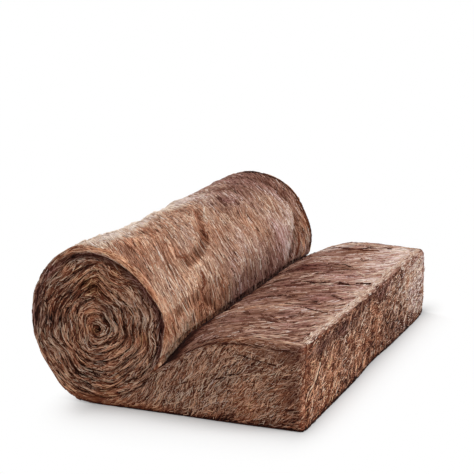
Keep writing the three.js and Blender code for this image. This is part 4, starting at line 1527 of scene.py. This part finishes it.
def bilinear(values, i, j):
    """Values of a grid between its points."""
    low_i = np.clip(i.astype(int), 0, values.shape[0] - 2)
    low_j = np.clip(j.astype(int), 0, values.shape[1] - 2)
    fi, fj = i - low_i, j - low_j
    if values.ndim == 3:
        fi, fj = fi[..., None], fj[..., None]
    return (values[low_i, low_j] * (1 - fi) * (1 - fj) + values[low_i + 1, low_j] * fi * (1 - fj)
            + values[low_i, low_j + 1] * (1 - fi) * fj + values[low_i + 1, low_j + 1] * fi * fj)


def unit(vectors):
    """Vectors brought to length one."""
    return vectors / np.maximum(norm(vectors, axis=-1, keepdims=True), TINY)


def strand_paths(points, grid, rng, count, spec):
    """Where strands run on a grid, counted in its points, and which of them stay on it."""
    along = norm(np.diff(points, axis=0), axis=-1)
    across = norm(np.diff(points, axis=1), axis=-1)
    cell = along[:, :-1] * across[:-1] * grid.shown
    chance = np.cumsum(cell.ravel()) / cell.sum()
    start = np.searchsorted(chance, rng.random(count))
    i = start // cell.shape[1] + rng.random(count)
    j = start % cell.shape[1] + rng.random(count)
    length = rng.uniform(*spec["length"], count)
    heading = np.radians(np.interp(i / along.shape[0], *np.array(spec["heading"], float).T))
    settled = spec.get("settled", 0) * ramp(j / across.shape[1], *SETTLED_SPAN)
    spread = np.full(count, spec["spread"])
    if grid.name.endswith("turns"):
        inward = i / along.shape[0]
        spread *= (OUTER_SPREAD + (1 - OUTER_SPREAD) * smoothstep(inward / OUTER_SPREAD_WAY)
                   + EYE_SPREAD * ramp(inward, *EYE_SPREAD_SPAN))
    heading = heading * (1 - settled) + rng.normal(0, 1, count) * spread
    heading = heading + math.pi * rng.integers(0, 2, count)
    bend = rng.normal(0, spec["bend"], count)
    stride = length / (spec["points"] - 1)
    places, kept = [], np.ones(count, bool)
    for _ in range(spec["points"]):
        places.append((i.copy(), j.copy()))
        du = bilinear(along, np.minimum(i, along.shape[0] - JUST_ONE), j)
        dv = bilinear(across, i, np.minimum(j, across.shape[1] - JUST_ONE))
        i = i + stride * np.cos(heading) / np.maximum(du, LEAST_CELL)
        j = j + stride * np.sin(heading) / np.maximum(dv, LEAST_CELL)
        kept &= (i > -1) & (i < points.shape[0]) & (j > -1) & (j < points.shape[1])
        i, j = (np.clip(place, 0, size - JUST_ONE)
                for place, size in ((i, points.shape[0]), (j, points.shape[1])))
        heading = heading + bend
    i, j = (np.stack(line, 1) for line in zip(*places))
    return i, j, kept


def strand_lines(skin, grid, rng, count, spec, width):
    """Lines of points on one grid, with the girth, tone and hue of a strand at each point."""
    points, normals = skin.points[grid.ids], skin.normals[grid.ids]
    tones, hues, calms = skin.shade(grid)
    i, j, kept = strand_paths(points, grid, rng, count, spec)
    where, up = bilinear(points, i, j), unit(bilinear(normals, i, j))
    steps = spec["points"]
    share = np.linspace(0, 1, steps)
    arch = np.sin(math.pi * share) if steps > 2 else np.ones(steps)
    # How high a strand lies also sets its painted light and shade.
    height = rng.random(count)                       # 0 for a buried strand, 1 for a top one
    lift = (spec["lift"] * (2 * height - BURIED))[:, None] * arch - spec["sink"] * (1 - arch)
    loose = rng.random(count) < spec["loose"]
    flick = rng.uniform(*FLICK, count) * loose
    lift = lift + flick[:, None] * share ** 2
    where = where + up * lift[..., None]
    thick = width * spec["girth"] / 2 * rng.uniform(*GIRTHS, count)
    girth = thick[:, None] * (TIP_GIRTH + (1 - TIP_GIRTH) * arch)
    where[..., 2] = np.maximum(where[..., 2], girth + CLEARANCE)
    swing = rng.uniform(-1, 1, count)
    swing = 0.5 * np.sign(swing) * np.abs(swing) ** spec["tail"]
    paler = (TOP_STRAND_LIGHT * (height - 0.5) + swing)[:, None]
    paler = np.where(paler < 0, paler * (1 + spec["skew"]), paler * (1 - spec["skew"]))
    paler = paler * (1 - CALMED * bilinear(calms, i, j))
    tone = bilinear(tones, i, j) + spec["paler"] + spec["contrast"] * paler
    tone = tone + rng.normal(0, spec["mottle"], (count, steps))
    hue = bilinear(hues, i, j) + rng.normal(0, HUE_SPREAD, count)[:, None]
    tone, hue = np.clip(tone, LEAST_SHADE, spec["palest"]), np.clip(hue, LEAST_SHADE, MOST_HUE)
    return where[kept], girth[kept], tone[kept], hue[kept]


def traced_lines(skin, grid, rng, trace, width):
    """Short strands one after another along a line on a face, as strand_lines gives them."""
    _, tone, hue, girth, spread, per_metre, places = trace
    points, normals = skin.points[grid.ids], skin.normals[grid.ids]
    size = np.array(points.shape[:2]) - 1
    corners = (np.array(places, float) * size).T
    fine = np.linspace(0, len(places) - 1, TRACE_FINENESS * len(places))
    i, j = (np.clip(np.interp(fine, np.arange(len(places)), line), 0, top - (JUST_ONE - 1))
            for line, top in zip(corners, size))
    line, up = bilinear(points, i, j), bilinear(normals, i, j)
    stretch = norm(np.diff(line, axis=0), axis=1)
    run = np.concatenate([[0], np.cumsum(stretch)])
    count = max(int(run[-1] * per_metre), 3)
    length = rng.uniform(*TRACE_LENGTHS, count)
    start = rng.uniform(-TRACE_BEFORE, max(run[-1] - TRACE_SHORT_OF_END, TRACE_LEAST), count)
    at = np.clip(start[:, None] + length[:, None] * [0, 0.5, 1], 0, run[-1])
    where, above = (np.stack([np.interp(at, run, values[:, axis]) for axis in range(3)], -1)
                    for values in (line, up))
    above /= norm(above, axis=-1, keepdims=True)
    side = unit(np.cross(above, np.gradient(where, axis=1)))
    aside = rng.normal(0, spread, (count, 1)) + rng.normal(0, TRACE_WAVER, (count, 3))
    lift = np.array(TRACE_LIFTS) + rng.uniform(0, TRACE_MORE_LIFT, (count, 1))
    where = where + side * aside[..., None] + above * lift[..., None]
    thick = width * girth / 2 * rng.uniform(*TRACE_GIRTHS, (count, 1)) * TRACE_TAPER
    where[..., 2] = np.maximum(where[..., 2], thick + CLEARANCE)
    tone, hue = (np.clip(shade + rng.normal(0, swing, (count, 1)) + np.zeros(3), *TRACE_LIMITS)
                 for shade, swing in ((tone, TRACE_TONE_SWING), (hue, TRACE_HUE_SWING)))
    return where, thick, tone, hue


def nip_shade_traces():
    """Dark strands that paint the shade where the free blanket meets the roll."""
    y = np.linspace(LOW[1] + NIP_INSET, HIGH[1] - NIP_INSET, NIP_POINTS)
    shares = contact_angle(y) / (NIP_STEP * STEP) - NIP_LINE_SHIFT
    past = NIP_LINE_PAST + NIP_LINE_CLIMB * climb_share(y)
    across = (y - LOW[1]) / BLANKET_WIDTH
    return [("roll", *NIP_SHADE_ON_ROLL, list(zip(shares, across))),
            ("top", *NIP_SHADE_ON_TOP, list(zip(past, across)))]


def strand_mesh(name, lines, tree, material):
    """All of a piece's strands as one mesh."""
    edges, first = [], 0
    for where, *_ in lines:
        ids = np.arange(where.shape[0] * where.shape[1]).reshape(where.shape[:2]) + first
        edges.append(np.stack([ids[:, :-1].ravel(), ids[:, 1:].ravel()], -1))
        first += ids.size
    edges = np.concatenate(edges)
    places = np.concatenate([where.reshape(-1, 3) for where, *_ in lines])
    mesh = bpy.data.meshes.new(name + "_lines")
    mesh.vertices.add(first)
    mesh.vertices.foreach_set("co", np.ascontiguousarray(places, np.float32).ravel())
    mesh.edges.add(len(edges))
    mesh.edges.foreach_set("vertices", edges.astype(np.int32).ravel())
    for label, column in (("girth", 1), ("tone", 2), ("hue", 3)):
        set_floats(mesh, label, np.concatenate([part[column].ravel() for part in lines]))
    made = modified_mesh(mesh, tree, {"Sides": 3, "Material": material}, name)
    for extra in ("girth", "tone", "hue", "along", "around"):
        if extra in made.attributes:
            made.attributes.remove(made.attributes[extra])
    return made


# Lengths in metres, headings as for the long faces, spread and bend in radians, and tones on
# the scale of the wool's tones. Skew makes the dark ones stand out more than the pale ones.
ROLL_SPEC = {
    "length": (0.016, 0.045), "points": 2, "heading": ROLL_HEADING, "spread": 0.05, "bend": 0.0,
    "girth": 1.0, "lift": 0.0006, "sink": 0.0005, "loose": 0.004, "contrast": 0.85,
    "tail": 2.2, "mottle": 0.05, "skew": 0.3, "palest": 0.95, "paler": 0.04,
}
LONG_ROLL_SPEC = dict(ROLL_SPEC, length=(0.05, 0.12), points=3, girth=0.7, bend=0.02)
TOP_SPEC = dict(ROLL_SPEC, length=(0.015, 0.05), heading=TOP_HEADING, spread=0.14,
                contrast=0.8, mottle=0.06, skew=0.15)
TURNS_SPEC = dict(ROLL_SPEC, length=(0.025, 0.06), points=4, heading=((0, 0),), spread=0.2,
                  bend=0.1, girth=0.95, contrast=1.3, tail=1.0, loose=0.004, mottle=0.08,
                  skew=0.0, palest=0.88, paler=0.14)
DASH_SPEC = dict(TURNS_SPEC, length=(0.009, 0.022), points=2, spread=0.34, bend=0.0)
SIDE_SPEC = dict(DASH_SPEC, length=(0.008, 0.026), spread=0.36, girth=0.78, contrast=1.0,
                 heading=((0, 20), (0.3, 44), (0.7, 40), (1, 28)), settled=0.9, paler=0.14)
CUT_SPEC = dict(SIDE_SPEC, length=(0.008, 0.03), heading=((0, 76),), spread=0.42, girth=0.82,
                contrast=1.02, settled=0.0, palest=0.95, paler=0.1)


# What each piece of strands consists of: face, number of strands, how they lie.
ROLL_PARTS = ("roll", 15500, ROLL_SPEC), ("roll", 700, LONG_ROLL_SPEC)
TOP_PARTS = ("top", 10000, TOP_SPEC),
CUT_PARTS = ("cut", 12000, CUT_SPEC),
END_PARTS = {
    "near": (("_turns", 3000, TURNS_SPEC), ("_turns", 6400, DASH_SPEC),
             ("_slab_side", 8400, SIDE_SPEC)),
    "far": (("_turns", 2000, TURNS_SPEC), ("_turns", 3200, DASH_SPEC),
            ("_slab_side", 4500, SIDE_SPEC)),
}


def traces_on(name):
    """Every single line on a face, as its face, how it looks, and its places."""
    return [(name, trace[0] / HUNDRED, trace[1] / HUNDRED, *trace[2:TRACE_VALUES],
             [(u / MILLI, v / MILLI) for u, v in places])
            for trace in TRACES.get(name, ()) for places in trace[TRACE_VALUES:]]


def rng_for(seed, name):
    """A random source of its own for each piece, so that one piece never changes another."""
    return np.random.default_rng([seed, *name.encode()])


SKIN_CACHE = {}


def add_piece(name, mesh, material=None):
    """A piece on the roll's body, with the given material where its mesh has none yet."""
    piece = placed(name, mesh)
    if material and not mesh.materials:
        mesh.materials.append(material)
    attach(piece, "root")
    return piece


def add_strands(context, name, parts, traces=()):
    """One piece of loose strands; parts lists grid, number of strands and how they lie."""
    settings, skin = context.scene.wool_strands, SKIN_CACHE["skin"]
    rng = rng_for(settings.seed, name)
    lines = [strand_lines(skin, skin.grids[grid], rng, int(count * settings.density),
                          spec, settings.width) for grid, count, spec in parts]
    lines += [traced_lines(skin, skin.grids[trace[0]], rng, trace, settings.width)
              for trace in traces]
    mesh = strand_mesh(name, lines, SKIN_CACHE["strand_tree"], SKIN_CACHE["strand_material"])
    return add_piece(name, mesh)


class WOOL_OT_skin(bpy.types.Operator):
    """Make the blanket's skin, from the square cut to the eye of the roll"""

    bl_idname = "wool.skin"
    bl_label = "Blanket skin"

    def execute(self, context):
        mesh, skin = make_skin(context.scene.wool_shape)
        colours = wool_colour_group()
        SKIN_CACHE["skin"] = skin
        SKIN_CACHE["strand_tree"] = strand_tree()
        SKIN_CACHE["strand_material"] = wool_material("wool_strand", colours, strand_shades)
        packed_wool = wool_material("packed_wool", colours, packed_wool_shades)
        piece = add_piece("blanket_skin", mesh, packed_wool)
        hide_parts(NODE)
        return {"FINISHED"}


class WOOL_OT_roll_strands(bpy.types.Operator):
    """Lay strands round the outside of the roll"""

    bl_idname = "wool.roll_strands"
    bl_label = "Strands on the roll"

    def execute(self, context):
        traces = {"first": traces_on("roll"), "second": nip_shade_traces()}
        for half, lines in traces.items():
            add_strands(context, half + "_roll_strands", ROLL_PARTS, lines)
        return {"FINISHED"}


class WOOL_OT_top_strands(bpy.types.Operator):
    """Lay strands on the free blanket's upper face"""

    bl_idname = "wool.top_strands"
    bl_label = "Strands on the free blanket"

    def execute(self, context):
        add_strands(context, "top_strands", TOP_PARTS, traces_on("top"))
        return {"FINISHED"}


class WOOL_OT_end_strands(bpy.types.Operator):
    """Lay strands on both ends of the roll and the free blanket's sides"""

    bl_idname = "wool.end_strands"
    bl_label = "Strands on the ends"

    def execute(self, context):
        for end, parts in END_PARTS.items():
            add_strands(context, end + "_end_strands", [
                (end + face, count, spec) for face, count, spec in parts],
                traces_on(end + "_slab_side"))
        return {"FINISHED"}


class WOOL_OT_cut_strands(bpy.types.Operator):
    """Lay tangled strands on the square cut"""

    bl_idname = "wool.cut_strands"
    bl_label = "Strands on the cut"

    def execute(self, context):
        add_strands(context, "cut_strands", CUT_PARTS, traces_on("cut"))
        return {"FINISHED"}


# ---- Floor, lamps and camera

CAMERA_PLACE = (1.5307, -4.0334, 1.3309)
CAMERA_AZIMUTH = math.radians(21.04)
CAMERA_ELEVATION = math.radians(13.09)
CAMERA_LENS_MM = 120.2
SENSOR_MM = 36
CLIP_END = 50

FLOOR_HALF = 12.0
# The floor's colour is darkened round the roll: a painted shadow beside the one the lamps cast.
CONTACT_CENTRE, CONTACT_HALF = (0.095, 0.0, 0.0), (0.27, 0.565, 1.0)
SHADOW_SQUEEZE = (2.0, 1.0, 1.0)      # the shadow is narrower beside the roll than at its ends
CONTACT_SHADOW_DEPTH, CONTACT_SHADOW_REACH = (0.4, 0.62), 0.07       # below the roll, below the square cut
CONTACT_CHANGE = (0.05, 0.35)         # where the first depth goes over into the second
LEAST_WHITE = 0.08                    # share of the plain backdrop that shows in the shadow

LIT_MIDDLE = (0.0, 0.0, 0.2)
SOFTBOXES = (                         # name, place, size, setting that holds its strength
    ("overhead_softbox", (1.9, -0.2, 2.5), 2.2, "key_strength"),
    ("front_softbox", (-0.6, -3.6, 1.5), 2.2, "front_strength"),
    ("back_softbox", (-2.4, 1.6, 1.6), 1.4, "back_strength"),
)


def plainly_seen(nodes):
    """1 for rays that show the background to the camera, straight or in gloss or glass."""
    path = nodes.add("ShaderNodeLightPath").outputs
    seen = nodes.math("MAXIMUM", path["Is Camera Ray"], path["Is Glossy Ray"])
    return nodes.math("MAXIMUM", seen, path["Is Transmission Ray"])


def floor_material(colour, reach):
    """Pale floor that shows the roll's shadow, with a painted shadow in its colour round the roll,
    and goes over into the plain backdrop beyond it.
    """
    material, nodes, shader = plain_material("pale_floor", 1.0, 0.0)
    place = nodes.add("ShaderNodeTexCoord").outputs["Object"]
    away = nodes.out("ShaderNodeVectorMath", {
        0: nodes.vector("SUBTRACT", place, CONTACT_CENTRE)}, operation="ABSOLUTE")
    away = nodes.vector("MAXIMUM", nodes.vector("SUBTRACT", away, CONTACT_HALF), (0, 0, 0))
    away = nodes.vector("MULTIPLY", away, SHADOW_SQUEEZE)
    away = nodes.add("ShaderNodeVectorMath", {0: away}, operation="LENGTH").outputs["Value"]
    # painted shadow: the floor's colour darker near the roll
    painted_shadow_fall = nodes.math("EXPONENT", nodes.math("DIVIDE", away, -CONTACT_SHADOW_REACH))
    depth = nodes.out("ShaderNodeMapRange", {
        "Value": nodes.out("ShaderNodeSeparateXYZ", {0: place}),
        "From Min": CONTACT_CHANGE[0], "From Max": CONTACT_CHANGE[1],
        "To Min": CONTACT_SHADOW_DEPTH[0], "To Max": CONTACT_SHADOW_DEPTH[1]})
    pale = nodes.math("SUBTRACT", 1.0, nodes.math("MULTIPLY", painted_shadow_fall, depth))
    shade = nodes.scaled((*colour,), pale)
    nodes.feed(shader.inputs["Base Color"], shade)
    share = nodes.out("ShaderNodeMapRange", {
        "Value": away, "From Min": 0.0, "From Max": reach, "To Min": LEAST_WHITE, "To Max": 1.0},
        interpolation_type="SMOOTHSTEP")
    share = nodes.math("MULTIPLY", share, plainly_seen(nodes))
    white = nodes.add("ShaderNodeEmission", {"Color": (1, 1, 1, 1), "Strength": 1.0})
    mixed = nodes.add("ShaderNodeMixShader", {0: share, 1: shader.outputs[0], 2: white.outputs[0]})
    nodes.feed(material.node_tree.nodes["Material Output"].inputs[0], mixed.outputs[0])
    return material


def softbox(name, place, target, size, strength):
    """A square lamp that gives an upright face at the target a share of full light."""
    lamp = bpy.data.lights.new(name, "AREA")
    lamp.size = size
    distance = math.dist(place, target)
    lamp.energy = strength * math.pi ** 2 * distance ** 2
    holder = placed(name, lamp)
    holder.location = place
    aim = np.array(target) - np.array(place)
    holder.rotation_euler = (math.acos(-aim[2] / distance), 0, math.atan2(-aim[0], aim[1]))
    return holder


class WOOL_OT_studio(bpy.types.Operator):
    """Make the floor, the lamps and the camera"""

    bl_idname = "wool.studio"
    bl_label = "Studio"

    def execute(self, context):
        scene, studio = context.scene, context.scene.studio_settings
        mesh = bpy.data.meshes.new("floor")
        corners = ((-1, -1), (1, -1), (1, 1), (-1, 1))
        mesh.from_pydata([(x * FLOOR_HALF, y * FLOOR_HALF, 0) for x, y in corners], [],
                         [(0, 1, 2, 3)])
        mesh.materials.append(floor_material(studio.floor_colour, studio.shadow_reach))
        floor = placed("floor", mesh)

        for name, place, size, setting in SOFTBOXES:
            softbox(name, place, LIT_MIDDLE, size, getattr(studio, setting))

        world = bpy.data.worlds.new("studio_air")
        scene.world = world
        world.use_nodes = True
        nodes = Tree(world.node_tree)
        background = world.node_tree.nodes["Background"]
        background.inputs["Color"].default_value = (1, 1, 1, 1)
        fill = studio.fill_strength
        nodes.feed(background.inputs["Strength"], nodes.math(
            "ADD", nodes.math("MULTIPLY", plainly_seen(nodes), 1.0 - fill), fill))

        camera = bpy.data.cameras.new("camera")
        camera.sensor_width, camera.lens = SENSOR_MM, CAMERA_LENS_MM
        camera.clip_end = CLIP_END
        holder = placed("camera", camera)
        holder.location = CAMERA_PLACE
        holder.rotation_euler = (math.pi / 2 - CAMERA_ELEVATION, 0, CAMERA_AZIMUTH)
        scene.camera = holder
        scene.view_settings.view_transform = "Standard"
        return {"FINISHED"}


class WOOL_PT_panel(bpy.types.Panel):
    """The pieces of the insulation roll"""

    bl_idname = "WOOL_PT_panel"
    bl_label = "Insulation Roll"
    bl_space_type = "VIEW_3D"
    bl_region_type = "UI"
    bl_category = "Insulation Roll"

    def draw(self, context):
        for settings in ("wool_shape", "wool_strands", "studio_settings"):
            group = getattr(context.scene, settings)
            for name in group.__annotations__:
                self.layout.prop(group, name)
        for operator in OPERATORS:
            self.layout.operator(operator.bl_idname)


OPERATORS = (WOOL_OT_studio, WOOL_OT_skin, WOOL_OT_roll_strands, WOOL_OT_top_strands,
             WOOL_OT_end_strands, WOOL_OT_cut_strands)
SETTINGS = {"wool_shape": WoolShape, "wool_strands": WoolStrands,
            "studio_settings": StudioSettings}


def register():
    for group in SETTINGS.values():
        bpy.utils.register_class(group)
    for name, group in SETTINGS.items():
        setattr(bpy.types.Scene, name, bpy.props.PointerProperty(type=group))
    for operator in OPERATORS:
        bpy.utils.register_class(operator)
    bpy.utils.register_class(WOOL_PT_panel)


def unregister():
    bpy.utils.unregister_class(WOOL_PT_panel)
    for operator in reversed(OPERATORS):
        bpy.utils.unregister_class(operator)
    for name, group in SETTINGS.items():
        delattr(bpy.types.Scene, name)
        bpy.utils.unregister_class(group)


def main():
    register()
    bpy.ops.wool.studio()
    bpy.ops.wool.skin()
    bpy.ops.wool.roll_strands()
    bpy.ops.wool.top_strands()
    bpy.ops.wool.end_strands()
    bpy.ops.wool.cut_strands()


if __name__ == "__main__":
    main()
